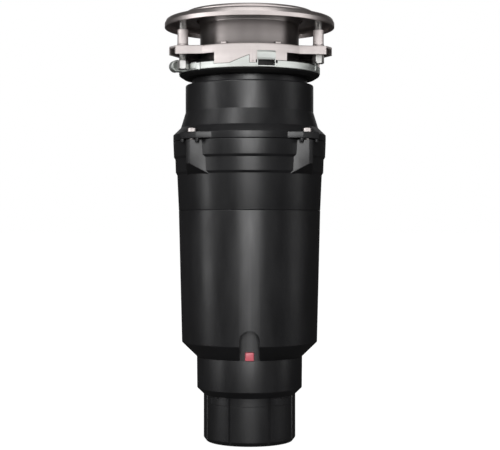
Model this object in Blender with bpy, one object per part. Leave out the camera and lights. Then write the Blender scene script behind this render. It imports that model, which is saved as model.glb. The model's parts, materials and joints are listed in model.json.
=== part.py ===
"""Kitchen garbage disposal: a continuous-drive under-sink food waste disposer with its sink mount.

The object stands on its base with +Z up.  The origin is the centre of the bottom face, and the
reset button faces -Y.  Every length in this file is in millimetres, and the mesh builders turn
millimetres into metres.  A bearing named "phi" is measured in degrees from the front (-Y),
positive towards +X.
"""

import math

import bmesh
import bpy
from mathutils import Matrix, Vector

MM = 0.001
GAP = 0.3
SEGMENTS = 32
INNER = 24
FINE = 16
SMALL = 8
SMOOTH_ANGLE = math.radians(40)

# Overall heights of the stack
SHELL_TOP = 199.3
HOUSING_BOTTOM = 199.9
HOUSING_TOP = 258.3
HOPPER_BOTTOM = 258.6
RIM_TOP = 264.1
HOPPER_SHOULDER = 307.7
NECK_TOP = 318.7
FLANGE_TOP = 370.8

# Bottom housing
TUBE_RADIUS = 39.8
TUBE_TOP = 40.8
BASE_EDGE = 3.5
FLOOR = 5.0
SKIRT_RADIUS = 45.75
SKIRT_BOTTOM = 46.3
SKIRT_TOP = 73.1
GROOVE_BEARING = 24.7
GROOVE_WIDTH = 2.0

# Outer shell and the reset recess in its front
SHELL_FOOT = 73.4
SHELL_WIDE = 85.8
SHELL_LOW_RADIUS = 58.7
SHELL_TOP_RADIUS = 61.45
RECESS_HALF = 8.4
RECESS_SPRING = 90.9
RECESS_WALL = 1.6
BUTTON_Z = 76.8
BUTTON_WIDTH = 6.4
BUTTON_HEIGHT = 6.2
BUTTON_HOLE = 4.8
BUTTON_FRONT = 47.4

# Motor
SHAFT_RADIUS = 6.0
SHAFT_BOTTOM = 86.0
CAN_RADIUS = 54.0
CAN_INNER = 52.6
CAN_BOTTOM = 106.0
CAN_TOP = 190.0
STATOR_RADIUS = 52.3
STATOR_BORE = 33.4
STATOR_BOTTOM = 125.0
STATOR_TOP = 167.0
ROTOR_RADIUS = 33.0
BOLT_CIRCLE = 50.4
BEARING_RADIUS = 9.0
HUB_BORE = 9.3
HUB_RADIUS = 14.0

# Drain housing and discharge
SPIGOT_BOTTOM = 196.4
CHAMBER_RADIUS = 55.0
CHAMBER_FLOOR = 206.0
RING_SEAT = 245.7
OUTLET_Z = 226.0
OUTLET_BORE = 15.5
OUTLET_FACE = 70.0
OUTLET_SCREW_X = 27.0
ELBOW_RADIUS = 18.5
ELBOW_BORE = 15.3
ELBOW_BEND = 26.0
ELBOW_END = 168.0

# Corner lugs that join the hopper to the drain housing
EAR_SQUARE = 58.2
EAR_CHAMFER = 44.8
BOSS_SQUARE = 52.9
LUG_RADIUS = 67.8
LUG_BEARINGS = (45, 135, 225, 315)

# Grinding parts
TURNTABLE_RADIUS = 54.3
TURNTABLE_TOP = 252.0
TURNTABLE_THICK = 2.2
PIN_RADIUS = 3.2
PIN_CIRCLE = 36.0

# Hopper
HOPPER_RADIUS = 55.55
NECK_RADIUS = 50.0
THROAT_RADIUS = 40.5
INLET_Z = 296.0
INLET_RADIUS = 11.0
INLET_BORE = 8.8
INLET_END = 82.0

# Sink mount
SLEEVE_RADIUS = 42.9
SLEEVE_BORE = 41.7
SLEEVE_BOTTOM = 325.0
FLANGE_RADIUS = 57.15
BACKUP_RADIUS = 73.7
RING_RADIUS = 61.2
RING_THICK = 1.5
RING_TOP = 337.0
RING_SKIRT = 329.9
EAR_BEARING = 61.7
EAR_LENGTH = 76.0
EAR_HALF_WIDTH = 6.0
EAR_ROOT_BEARING = 42.0
EAR_TAPER = 0.725
SCREW_CIRCLE = 66.1
SCREW_RADIUS = 3.2
SCREW_TIP = 363.2
SCREW_HEADS = (323.0, 320.0, 317.9)
SCREW_HEAD_HEIGHT = 7.4

# Bayonet between the two mounting rings: edges as (phi, z), one period of 120 degrees
BAND_BOTTOM = 317.0
BAND_TOP = 322.6
APRON_LEFT = -28.6
APRON_RIGHT = 30.4
APRON_LOW = 320.8
RAMP_FOOT = -16.1
RAMP_RISE = 6.6
TONGUE_RIGHT = 4.9
HOOK_LEFT = 5.8
HOOK_RIGHT = 20.0
HOOK_LOW = 323.1
HOOK_TOP = 330.8
WINDOW_LOW = 318.1
EYE_CIRCLE = 66.8
EYE_BEARING = -70.0
REAR_EYE_BEARING = 170.0
HOOK_INNER = 61.6
HOOK_OUTER = 63.4
EDGE_GAP = 0.35
STEP = 0.03


# ---------------------------------------------------------------- materials

def material(name, colour, roughness, metallic):
    """A Principled material with one colour."""
    made = bpy.data.materials.new(name)
    made.use_nodes = True
    shader = made.node_tree.nodes["Principled BSDF"]
    shader.inputs["Base Color"].default_value = (*colour, 1.0)
    shader.inputs["Roughness"].default_value = roughness
    shader.inputs["Metallic"].default_value = metallic
    made.diffuse_color = (*colour, 1.0)
    return made


def make_materials():
    """All the materials of the object, by a short name."""
    return {
        "black_plastic": material("black_plastic", (0.022, 0.022, 0.024), 0.42, 0.0),
        "black_rubber": material("black_rubber", (0.015, 0.015, 0.015), 0.7, 0.0),
        "grey_rubber": material("grey_rubber", (0.12, 0.12, 0.12), 0.75, 0.0),
        "stainless": material("stainless", (0.74, 0.71, 0.69), 0.28, 1.0),
        "zinc_plate": material("zinc_plate", (0.68, 0.69, 0.68), 0.35, 1.0),
        "fibre": material("fibre", (0.35, 0.28, 0.2), 0.9, 0.0),
        "copper": material("copper", (0.7, 0.32, 0.15), 0.4, 1.0),
        "core_steel": material("core_steel", (0.32, 0.32, 0.34), 0.5, 1.0),
        "cast_aluminium": material("cast_aluminium", (0.6, 0.6, 0.62), 0.5, 1.0),
        "bronze": material("bronze", (0.55, 0.38, 0.18), 0.4, 1.0),
        "foam": material("foam", (0.2, 0.2, 0.21), 0.95, 0.0),
        "red_plastic": material("red_plastic", (0.72, 0.06, 0.08), 0.35, 0.0),
        "green_screw": material("green_screw", (0.05, 0.35, 0.12), 0.4, 0.6),
    }


# ---------------------------------------------------------------- mesh builders

def clear_scene():
    """Start from an empty scene."""
    for old in list(bpy.data.objects):
        bpy.data.objects.remove(old, do_unlink=True)


def polar(radius, phi):
    """The point at a bearing from the front, in millimetres."""
    angle = math.radians(phi)
    return radius * math.sin(angle), -radius * math.cos(angle)


def finish_mesh(name, bm, origin=(0.0, 0.0, 0.0)):
    """Turn a bmesh in millimetres into an object in metres with its origin at a point."""
    bmesh.ops.recalc_face_normals(bm, faces=bm.faces)
    bmesh.ops.translate(bm, verts=bm.verts, vec=-Vector(origin))
    bmesh.ops.scale(bm, verts=bm.verts, vec=(MM, MM, MM))
    mesh = bpy.data.meshes.new(name)
    bm.to_mesh(mesh)
    bm.free()
    made = bpy.data.objects.new(name, mesh)
    made.location = Vector(origin) * MM
    bpy.context.collection.objects.link(made)
    return made


def skin_rings(bm, rings, closed):
    """Join rings of vertices with faces; a ring of one vertex is a pole."""
    pairs = list(zip(rings, rings[1:]))
    if closed:
        pairs.append((rings[-1], rings[0]))
    for lower, upper in pairs:
        count = max(len(lower), len(upper))
        if count == 1:
            continue
        for i in range(count):
            j = (i + 1) % count
            corners = [
                lower[i % len(lower)],
                lower[j % len(lower)],
                upper[j % len(upper)],
                upper[i % len(upper)],
            ]
            bm.faces.new(list(dict.fromkeys(corners)))


def turned(name, profile, steps=SEGMENTS, centre=(0.0, 0.0), origin=(0.0, 0.0, 0.0)):
    """Body turned about a vertical axis from a closed (radius, z) outline."""
    bm = bmesh.new()
    rings = []
    for radius, z in profile:
        if radius < GAP / 10:
            rings.append([bm.verts.new((centre[0], centre[1], z))])
            continue
        ring = []
        for i in range(steps):
            angle = 2 * math.pi * i / steps
            x = centre[0] + radius * math.cos(angle)
            y = centre[1] + radius * math.sin(angle)
            ring.append(bm.verts.new((x, y, z)))
        rings.append(ring)
    skin_rings(bm, rings, closed=True)
    return finish_mesh(name, bm, origin)


def sector(name, profile, phi_start, phi_end, steps):
    """Body turned through part of a circle, with flat ends."""
    bm = bmesh.new()
    rings = []
    for i in range(steps + 1):
        phi = phi_start + (phi_end - phi_start) * i / steps
        rings.append([bm.verts.new((*polar(radius, phi), z)) for radius, z in profile])
    skin_rings(bm, rings, closed=False)
    bm.faces.new(rings[0])
    bm.faces.new(rings[-1])
    return finish_mesh(name, bm)


def patch(name, outline, inner, outer, step=7.5):
    """Block of a cylinder wall whose outline is given as (phi, z) points."""
    points = []
    for (phi, z), (phi_next, z_next) in zip(outline, outline[1:] + outline[:1]):
        count = max(1, math.ceil(abs(phi_next - phi) / step))
        for i in range(count):
            share = i / count
            points.append((phi + (phi_next - phi) * share, z + (z_next - z) * share))
    bm = bmesh.new()
    rings = []
    for radius in (inner, outer):
        rings.append([bm.verts.new((*polar(radius, phi), z)) for phi, z in points])
    skin_rings(bm, rings, closed=False)
    bm.faces.new(rings[0])
    bm.faces.new(rings[1])
    return finish_mesh(name, bm)


def skirt(name, edge, level, inner, outer, step=7.5):
    """Block of a cylinder wall between a level and a broken line of (phi, z) points."""
    points = []
    for (phi, z), (phi_next, z_next) in zip(edge, edge[1:]):
        count = max(1, math.ceil((phi_next - phi) / step))
        for i in range(count):
            share = i / count
            points.append((phi + (phi_next - phi) * share, z + (z_next - z) * share))
    points.append(edge[-1])
    bm = bmesh.new()
    rings = []
    for phi, z in points:
        corners = [(inner, level), (outer, level), (outer, z), (inner, z)]
        rings.append([bm.verts.new((*polar(radius, phi), height)) for radius, height in corners])
    skin_rings(bm, rings, closed=False)
    bm.faces.new(rings[0])
    bm.faces.new(rings[-1])
    return finish_mesh(name, bm)


def prism(name, outline, low, high, matrix=None, origin=(0.0, 0.0, 0.0)):
    """Body extruded along Z from an (x, y) outline, then placed by a matrix."""
    bm = bmesh.new()
    rings = [[bm.verts.new((x, y, z)) for x, y in outline] for z in (low, high)]
    skin_rings(bm, rings, closed=False)
    bm.faces.new(rings[0])
    bm.faces.new(rings[1])
    if matrix is not None:
        bmesh.ops.transform(bm, matrix=matrix, verts=bm.verts)
    return finish_mesh(name, bm, origin)


def block(name, x_span, y_span, z_span, origin=(0.0, 0.0, 0.0)):
    """Rectangular block from its spans along the axes."""
    outline = [
        (x_span[0], y_span[0]),
        (x_span[1], y_span[0]),
        (x_span[1], y_span[1]),
        (x_span[0], y_span[1]),
    ]
    return prism(name, outline, z_span[0], z_span[1], origin=origin)


def circle_points(radius, count, centre=(0.0, 0.0), start=0.0):
    """Points evenly round a circle."""
    points = []
    for i in range(count):
        angle = math.radians(start) + 2 * math.pi * i / count
        points.append((centre[0] + radius * math.cos(angle), centre[1] + radius * math.sin(angle)))
    return points


def arc_points(radius, start, end, count, centre=(0.0, 0.0)):
    """Points along an arc, both ends included; angles in degrees from +X."""
    points = []
    for i in range(count + 1):
        angle = math.radians(start + (end - start) * i / count)
        points.append((centre[0] + radius * math.cos(angle), centre[1] + radius * math.sin(angle)))
    return points


def stadium(half_length, half_width, count=8):
    """Outline with two straight sides and two round ends."""
    offset = half_length - half_width
    right = arc_points(half_width, -90, 90, count, (offset, 0.0))
    left = arc_points(half_width, 90, 270, count, (-offset, 0.0))
    return right + left


def along_y(x, z):
    """Matrix that turns a prism's Z into +Y, its X into -X and its Y into +Z, centred on a line."""
    columns = Matrix(((-1, 0, 0, x), (0, 0, 1, 0), (0, 1, 0, z), (0, 0, 0, 1)))
    return columns


def rod_y(name, radius, x, z, y_low, y_high, steps=FINE):
    """Round bar along Y."""
    return prism(name, circle_points(radius, steps), y_low, y_high, along_y(x, z))


def rod_z(name, radius, x, y, z_low, z_high, steps=SMALL, start=0.0):
    """Round bar along Z."""
    return prism(name, circle_points(radius, steps, (x, y), start), z_low, z_high)


def boolean(target, tools, operation):
    """Apply a Boolean with each tool in turn and remove the tools."""
    for tool in tools:
        modifier = target.modifiers.new(operation, "BOOLEAN")
        modifier.object = tool
        modifier.operation = operation
        modifier.solver = "EXACT"
        bpy.context.view_layer.update()
        graph = bpy.context.evaluated_depsgraph_get()
        result = bpy.data.meshes.new_from_object(target.evaluated_get(graph))
        target.modifiers.clear()
        old = target.data
        target.data = result
        bpy.data.meshes.remove(old)
        bpy.data.objects.remove(tool, do_unlink=True)
    return target


def join(target, *tools):
    """Union of the target with its tools."""
    return boolean(target, tools, "UNION")


def cut(target, *tools):
    """The target with its tools cut away."""
    return boolean(target, tools, "DIFFERENCE")


def dress(made, surface):
    """Give an object its material and smooth shading with sharp edges kept."""
    made.data.materials.clear()
    made.data.materials.append(surface)
    made.data.shade_smooth()
    made.data.set_sharp_from_angle(angle=SMOOTH_ANGLE)
    return made


# ---------------------------------------------------------------- bottom housing

def make_bottom_housing(surface):
    """Cup with a rounded foot, a skirt and a front tab that carries the reset button."""
    body = turned("bottom_housing", [
        (0.0, 0.0),
        (TUBE_RADIUS - BASE_EDGE, 0.0),
        (TUBE_RADIUS - 1.2, 1.0),
        (TUBE_RADIUS, BASE_EDGE),
        (TUBE_RADIUS, TUBE_TOP),
        (SKIRT_RADIUS - 0.25, SKIRT_BOTTOM),
        (SKIRT_RADIUS, SKIRT_TOP),
        (44.9, SKIRT_TOP),
        (44.9, 77.4),
        (43.2, 77.4),
        (43.2, SKIRT_BOTTOM + 1.0),
        (37.4, TUBE_TOP + 1.0),
        (37.4, FLOOR),
        (0.0, FLOOR),
    ])
    tab_half = math.degrees(math.asin(11.0 / SKIRT_RADIUS))
    tab = sector("tab", [
        (42.9, 68.0),
        (44.6, 68.0),
        (44.6, 72.7),
        (SKIRT_RADIUS - 0.05, 72.7),
        (SKIRT_RADIUS - 0.05, 102.0),
        (42.9, 102.0),
    ], -tab_half, tab_half, 4)
    join(body, tab)
    grooves = []
    for quarter in range(4):
        for side in (-1, 1):
            phi = 90 * quarter + side * GROOVE_BEARING
            turn = Matrix.Rotation(math.radians(phi), 4, "Z")
            outline = [
                (-GROOVE_WIDTH / 2, -TUBE_RADIUS - 3.0),
                (GROOVE_WIDTH / 2, -TUBE_RADIUS - 3.0),
                (GROOVE_WIDTH / 2, -TUBE_RADIUS + 1.2),
                (-GROOVE_WIDTH / 2, -TUBE_RADIUS + 1.2),
            ]
            grooves.append(prism("groove", outline, -1.0, TUBE_TOP + 0.6, turn))
    cut(body, *grooves)
    cut(body, rod_y("hole", BUTTON_HOLE, 0.0, BUTTON_Z, -48.0, -40.0))
    cut(body, block("cover_pocket", (-15.3, 15.3), (10.7, 33.3), (-1.0, 3.3)))
    cut(body, block("wiring_window", (-11.0, 11.0), (16.5, 30.5), (2.0, FLOOR + 1.0)))
    cut(body, rod_z("cover_screw_hole", 1.9, 0.0, 13.6, 2.0, FLOOR + 1.0))
    cut(body, rod_z("earth_pocket", 4.0, -20.0, -8.0, -1.0, 2.0, FINE))
    cut(body, rod_z("earth_hole", 2.0, -20.0, -8.0, 1.0, FLOOR + 1.0))
    return dress(body, surface)


def make_terminal_cover(surface):
    """Plate over the wiring window, with the mains cable's inlet hole."""
    plate = block("terminal_cover", (-15.0, 15.0), (11.0, 33.0), (1.6, 3.0))
    cut(plate, rod_z("inlet", 6.5, 0.0, 23.6, 0.0, 5.0, FINE))
    cut(plate, rod_z("hole", 1.9, 0.0, 13.6, 0.0, 5.0))
    return dress(plate, surface)


def make_screw(name, surface, x, y, head, shank, z_head, z_seat, z_tip, steps=SMALL):
    """Vertical screw with its head between z_head and z_seat and its shank on to z_tip."""
    body = turned(name, [
        (0.0, z_head),
        (head, z_head),
        (head, z_seat),
        (shank, z_seat),
        (shank, z_tip),
        (0.0, z_tip),
    ], steps, (x, y))
    return dress(body, surface)


# ---------------------------------------------------------------- outer shell and reset

def make_outer_shell(surface):
    """Tapered shell with an arched recess tunnel in its lower front."""
    body = turned("outer_shell", [
        (SKIRT_RADIUS, SHELL_FOOT),
        (SHELL_LOW_RADIUS, SHELL_WIDE),
        (SHELL_TOP_RADIUS, SHELL_TOP),
        (SHELL_TOP_RADIUS - 2.2, SHELL_TOP),
        (SHELL_LOW_RADIUS - 2.2, SHELL_WIDE + 1.2),
        (45.2, SHELL_FOOT + 2.8),
        (45.2, SHELL_FOOT),
    ])

    def arch(name, half, y_near, y_far, foot):
        outline = [(-half, foot)]
        outline += [(-x, z) for x, z in arc_points(half, 0, 180, 8, (0.0, RECESS_SPRING))]
        outline += [(half, foot)]
        return prism(name, outline, y_near, y_far, along_y(0.0, 0.0))

    outer = arch("tunnel", RECESS_HALF + RECESS_WALL, -60.0, -42.0, SHELL_FOOT + 4.0)
    inside = turned("inside", [
        (0.0, SHELL_FOOT + 0.3),
        (SKIRT_RADIUS, SHELL_FOOT + 0.3),
        (SHELL_LOW_RADIUS - 0.5, SHELL_WIDE),
        (SHELL_LOW_RADIUS, SHELL_WIDE + 40.0),
        (0.0, SHELL_WIDE + 40.0),
    ])
    join(body, boolean(outer, [inside], "INTERSECT"))
    cut(body, arch("recess", RECESS_HALF, -70.0, -40.0, SHELL_FOOT - 5.0))
    tab_half = math.degrees(math.asin(11.4 / SKIRT_RADIUS))
    clearance = sector("clearance", [
        (38.0, SHELL_FOOT - 3.0),
        (SKIRT_RADIUS + GAP, SHELL_FOOT - 3.0),
        (SKIRT_RADIUS + GAP, 103.0),
        (38.0, 103.0),
    ], -tab_half, tab_half, 6)
    cut(body, clearance)
    return dress(body, surface)


def make_reset_button(surface):
    """Square push button with a round collar behind the wall."""
    half_width = BUTTON_WIDTH / 2
    half_height = BUTTON_HEIGHT / 2
    body = block(
        "reset_button",
        (-half_width, half_width),
        (-BUTTON_FRONT, -42.1),
        (BUTTON_Z - half_height, BUTTON_Z + half_height),
        origin=(0.0, -BUTTON_FRONT, BUTTON_Z),
    )
    join(body, rod_y("collar", 5.6, 0.0, BUTTON_Z, -42.3, -41.5))
    return dress(body, surface)


def make_overload_protector(surface):
    """Thermal cut-out behind the button, with a pocket that the collar moves into."""
    body = block("overload_protector", (-10.0, 10.0), (-40.9, -27.0), (69.5, 84.0))
    cut(body, rod_y("pocket", 6.2, 0.0, BUTTON_Z, -42.0, -38.5))
    return dress(body, surface)


# ---------------------------------------------------------------- motor

def make_end_frame(name, surface, plate_low, plate_high, hub_low):
    """Bearing plate with a hub and four through-bolt holes."""
    body = turned(name, [
        (HUB_BORE, hub_low),
        (HUB_RADIUS, hub_low),
        (HUB_RADIUS, plate_low),
        (CAN_RADIUS, plate_low),
        (CAN_RADIUS, plate_high),
        (HUB_BORE, plate_high),
    ], INNER)
    holes = []
    for phi in LUG_BEARINGS:
        x, y = polar(BOLT_CIRCLE, phi)
        holes.append(rod_z("hole", 2.2, x, y, plate_low - 1, plate_high + 1))
    cut(body, *holes)
    return dress(body, surface)


def tube(name, surface, inner, outer, low, high, steps=FINE):
    """Plain ring."""
    made = turned(name, [(inner, low), (outer, low), (outer, high), (inner, high)], steps)
    return dress(made, surface)


def make_stator_core(surface):
    """Laminated ring with open notches for the through bolts."""
    body = turned("stator_core", [
        (STATOR_BORE, STATOR_BOTTOM),
        (STATOR_RADIUS, STATOR_BOTTOM),
        (STATOR_RADIUS, STATOR_TOP),
        (STATOR_BORE, STATOR_TOP),
    ], INNER)
    notches = []
    for phi in LUG_BEARINGS:
        x, y = polar(BOLT_CIRCLE, phi)
        notches.append(rod_z("notch", 2.4, x, y, STATOR_BOTTOM - 1, STATOR_TOP + 1))
    cut(body, *notches)
    return dress(body, surface)


def make_winding(name, surface, low, high):
    """Bundle of end turns with rounded edges."""
    inner = STATOR_BORE + 1.2
    outer = 47.5
    return dress(turned(name, [
        (inner, low),
        (outer - 2.5, low),
        (outer, low + 2.5),
        (outer, high - 2.5),
        (outer - 2.5, high),
        (inner, high),
    ], FINE), surface)


def make_end_ring(name, surface, low, high, blade_low, blade_high):
    """Rotor end ring with fan blades."""
    body = turned(name, [(18.0, low), (31.0, low), (31.0, high), (18.0, high)], FINE)
    blades = []
    for k in range(6):
        turn = Matrix.Rotation(math.radians(60 * k), 4, "Z")
        outline = [(21.0, -1.0), (29.0, -1.0), (29.0, 1.0), (21.0, 1.0)]
        blades.append(prism("blade", outline, blade_low, blade_high, turn))
    join(body, *blades)
    return dress(body, surface)


def make_motor_shaft(surface):
    """Stepped shaft with a threaded nose for the turntable."""
    return dress(turned("motor_shaft", [
        (0.0, SHAFT_BOTTOM),
        (SHAFT_RADIUS, SHAFT_BOTTOM),
        (SHAFT_RADIUS, 248.7),
        (4.0, 248.7),
        (4.0, 261.0),
        (0.0, 261.0),
    ], FINE), surface)


def make_through_bolt(index, phi, surface):
    """Long bolt that clamps the two end frames on the motor can."""
    x, y = polar(BOLT_CIRCLE, phi)
    return make_screw(f"through_bolt_{index}", surface, x, y, 3.5, 1.9, 99.2, 102.2, 193.4)


# ---------------------------------------------------------------- drain housing and discharge

def lug_prism(name, square, chamfer, root, low, high, slope_base=None):
    """Corner of a square with a flat across it; its underside may slope down to the wall."""
    inner = 43.0
    outline = [(square, root), (square, chamfer), (chamfer, square), (root, square), (inner, inner)]
    bm = bmesh.new()
    rings = []
    for z in (low, high):
        ring = []
        for x, y in outline:
            level = z
            if slope_base is not None and z == low:
                diagonal = (x + y) / math.sqrt(2)
                level = low + max(0.0, diagonal - slope_base)
            ring.append(bm.verts.new((x, y, level)))
        rings.append(ring)
    skin_rings(bm, rings, closed=False)
    bm.faces.new(rings[0])
    bm.faces.new(rings[1])
    return finish_mesh(name, bm)


def four_corners(make):
    """Run a maker for each corner and turn its result into place."""
    made = []
    for quarter in range(4):
        corner = make()
        corner.data.transform(Matrix.Rotation(math.radians(90 * quarter), 4, "Z"))
        made.append(corner)
    return made


def lug_points(radius=LUG_RADIUS):
    """The four screw axes."""
    return [polar(radius, phi) for phi in LUG_BEARINGS]


def make_drain_housing(surface):
    """Lower housing: banded wall, corner bosses, drain chamber and outlet boss."""
    body = turned("drain_housing", [
        (SHELL_TOP_RADIUS, HOUSING_BOTTOM),
        (62.8, 229.9),
        (64.1, 232.0),
        (64.45, 243.3),
        (65.7, 245.5),
        (66.25, HOUSING_TOP),
        (60.6, HOUSING_TOP),
        (60.6, HOUSING_TOP - 1.7),
        (58.0, HOUSING_TOP - 1.7),
        (58.0, RING_SEAT),
        (CHAMBER_RADIUS, RING_SEAT),
        (CHAMBER_RADIUS, CHAMBER_FLOOR + 3.0),
        (CHAMBER_RADIUS - 3.0, CHAMBER_FLOOR),
        (20.6, CHAMBER_FLOOR),
        (17.2, 216.8),
        (10.4, 216.8),
        (10.4, CHAMBER_FLOOR),
        (8.0, CHAMBER_FLOOR),
        (8.0, HOUSING_BOTTOM),
        (57.0, HOUSING_BOTTOM),
        (57.0, SPIGOT_BOTTOM),
        (58.7, SPIGOT_BOTTOM),
        (58.8, HOUSING_BOTTOM),
    ])
    bosses = four_corners(
        lambda: lug_prism("boss", BOSS_SQUARE, 50.0, 32.0, 228.0, HOUSING_TOP - 0.4, 63.0)
    )
    join(body, *bosses)
    boss = prism("outlet_boss", stadium(33.0, 20.5), 46.0, OUTLET_FACE, along_y(0, OUTLET_Z))
    cut(boss, rod_z("inside", CHAMBER_RADIUS + 4.0, 0.0, 0.0, 190.0, 260.0, SEGMENTS, 5.0))
    join(body, boss)
    cut(body, rod_y("outlet", OUTLET_BORE, 0.0, OUTLET_Z, 44.0, OUTLET_FACE + 2.0))
    for side in (-1, 1):
        x = side * OUTLET_SCREW_X
        cut(body, rod_y("outlet_screw_hole", 2.6, x, OUTLET_Z, 58.5, OUTLET_FACE + 2.0, SMALL))
    for x, y in lug_points():
        cut(body, rod_z("screw_hole", 2.1, x, y, 243.0, HOUSING_TOP + 1.0))
    return dress(body, surface)


def make_shaft_seal(surface):
    """Lip seal pressed in the hub round the shaft."""
    return dress(turned("shaft_seal", [
        (6.4, CHAMBER_FLOOR + GAP),
        (10.0, CHAMBER_FLOOR + GAP),
        (10.0, 214.5),
        (7.5, 214.5),
        (6.4, 211.0),
    ], FINE), surface)


def swept_tube(name, stations):
    """Round pipe in the YZ plane from (centre y, z, direction angle, inner, outer) stations."""
    bm = bmesh.new()
    steps = FINE
    outer_rings = []
    inner_rings = []
    for y, z, angle, inner, outer in stations:
        normal = Vector((0.0, math.sin(angle), math.cos(angle)))
        side = Vector((1.0, 0.0, 0.0))
        centre = Vector((0.0, y, z))
        for radius, rings in ((outer, outer_rings), (inner, inner_rings)):
            ring = []
            for i in range(steps):
                turn = 2 * math.pi * i / steps
                offset = side * (radius * math.cos(turn)) + normal * (radius * math.sin(turn))
                ring.append(bm.verts.new(centre + offset))
            rings.append(ring)
    skin_rings(bm, outer_rings + inner_rings[::-1], closed=True)
    return finish_mesh(name, bm)


def make_discharge_elbow(surface):
    """Flanged elbow that turns the outlet downwards."""
    flange_outer = ELBOW_RADIUS + 3.0
    y_flange = OUTLET_FACE + 2.8
    y_bend = y_flange + 9.5
    stations = [
        (y_flange, OUTLET_Z, 0.0, ELBOW_BORE, flange_outer),
        (y_flange + 3.5, OUTLET_Z, 0.0, ELBOW_BORE, flange_outer),
        (y_flange + 3.6, OUTLET_Z, 0.0, ELBOW_BORE, ELBOW_RADIUS),
    ]
    bends = 6
    for k in range(bends + 1):
        angle = math.radians(90 * k / bends)
        y = y_bend + ELBOW_BEND * math.sin(angle)
        z = OUTLET_Z - ELBOW_BEND * (1 - math.cos(angle))
        stations.append((y, z, angle, ELBOW_BORE, ELBOW_RADIUS))
    stations.append((y_bend + ELBOW_BEND, ELBOW_END, math.pi / 2, ELBOW_BORE, ELBOW_RADIUS))
    return dress(swept_tube("discharge_elbow", stations), surface)


def make_discharge_gasket(surface):
    """Flat ring between the outlet boss and the elbow."""
    low = OUTLET_FACE + GAP
    high = OUTLET_FACE + 2.5
    body = rod_y("discharge_gasket", ELBOW_RADIUS + 3.0, 0.0, OUTLET_Z, low, high)
    cut(body, rod_y("hole", OUTLET_BORE, 0.0, OUTLET_Z, low - 1, high + 1))
    return dress(body, surface)


def make_discharge_flange(surface):
    """Pressed plate that clamps the elbow's flange to the outlet boss."""
    low = OUTLET_FACE + 6.9
    high = low + 2.2
    body = prism("discharge_flange", stadium(33.0, 23.5), low, high, along_y(0.0, OUTLET_Z))
    cut(body, rod_y("hole", ELBOW_RADIUS + 0.5, 0.0, OUTLET_Z, low - 1, high + 1))
    for side in (-1, 1):
        x = side * OUTLET_SCREW_X
        cut(body, rod_y("screw_hole", 2.6, x, OUTLET_Z, low - 1, high + 1, SMALL))
    return dress(body, surface)


def make_discharge_screw(index, side, surface):
    """Hexagon head screw through the discharge flange."""
    x = side * OUTLET_SCREW_X
    seat = OUTLET_FACE + 9.4
    name = f"discharge_screw_{index}"
    body = prism(name, circle_points(4.6, 6), seat, seat + 3.2, along_y(x, OUTLET_Z))
    join(body, rod_y("shank", 2.2, x, OUTLET_Z, 59.5, seat + 0.5, SMALL))
    return dress(body, surface)


# ---------------------------------------------------------------- grinding parts

def make_grind_ring(surface):
    """Stationary shredder ring with slots in its lower edge."""
    low = RING_SEAT + GAP
    body = turned("grind_ring", [(55.4, low), (57.5, low), (57.5, 270.0), (55.4, 270.0)])
    slots = []
    for k in range(12):
        turn = Matrix.Rotation(math.radians(30 * k + 3.75), 4, "Z")
        outline = [(53.0, -2.0), (60.0, -2.0), (60.0, 2.0), (53.0, 2.0)]
        slots.append(prism("slot", outline, low - 1.0, low + 7.0, turn))
    cut(body, *slots)
    return dress(body, surface)


def make_turntable(surface):
    """Flywheel plate with a hub and an upturned edge."""
    bottom = TURNTABLE_TOP - TURNTABLE_THICK
    body = turned("turntable", [
        (4.4, TURNTABLE_TOP),
        (TURNTABLE_RADIUS - 1.6, TURNTABLE_TOP),
        (TURNTABLE_RADIUS - 1.0, TURNTABLE_TOP + 1.6),
        (TURNTABLE_RADIUS, TURNTABLE_TOP + 1.6),
        (TURNTABLE_RADIUS, bottom + 1.0),
        (TURNTABLE_RADIUS - 1.0, bottom),
        (13.0, bottom),
        (12.0, 238.0),
        (6.4, 238.0),
        (6.4, 249.0),
        (4.4, 249.0),
    ])
    for side in (-1, 1):
        cut(body, rod_z("pin_hole", PIN_RADIUS + GAP, side * PIN_CIRCLE, 0.0, 245.0, 255.0, SMALL, 11))
    return dress(body, surface)


def make_impeller(index, side, surface):
    """Swivelling lug on its pin: a tapered block with a round nose."""
    x_pin = side * PIN_CIRCLE
    heel = arc_points(7.5, 100, 260, 8, (0.0, 0.0))
    nose = arc_points(4.5, -80, 80, 6, (10.0, 0.0))
    outline = [(x_pin + side * x, y) for x, y in heel + nose]
    body = prism(
        f"impeller_{index}",
        outline,
        TURNTABLE_TOP + 0.4,
        TURNTABLE_TOP + 9.0,
        origin=(x_pin, 0.0, TURNTABLE_TOP),
    )
    cut(body, rod_z("hole", PIN_RADIUS + GAP, x_pin, 0.0, TURNTABLE_TOP - 1, TURNTABLE_TOP + 12))
    return dress(body, surface)


def make_impeller_pin(index, side, surface):
    """Rivet that holds an impeller on the turntable."""
    bottom = TURNTABLE_TOP - TURNTABLE_THICK
    return dress(turned(f"impeller_pin_{index}", [
        (0.0, bottom - 2.4),
        (5.0, bottom - 2.4),
        (5.0, bottom - GAP),
        (PIN_RADIUS, bottom - GAP),
        (PIN_RADIUS, TURNTABLE_TOP + 9.3),
        (5.4, TURNTABLE_TOP + 9.3),
        (4.4, TURNTABLE_TOP + 11.0),
        (0.0, TURNTABLE_TOP + 11.0),
    ], SMALL, (side * PIN_CIRCLE, 0.0)), surface)


def make_turntable_nut(surface):
    """Hexagon nut on the shaft's nose."""
    low = TURNTABLE_TOP + GAP
    body = prism("turntable_nut", circle_points(8.1, 6), low, low + 6.5)
    cut(body, rod_z("hole", 4.3, 0.0, 0.0, low - 1, low + 8, FINE))
    return dress(body, surface)


# ---------------------------------------------------------------- hopper

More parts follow.
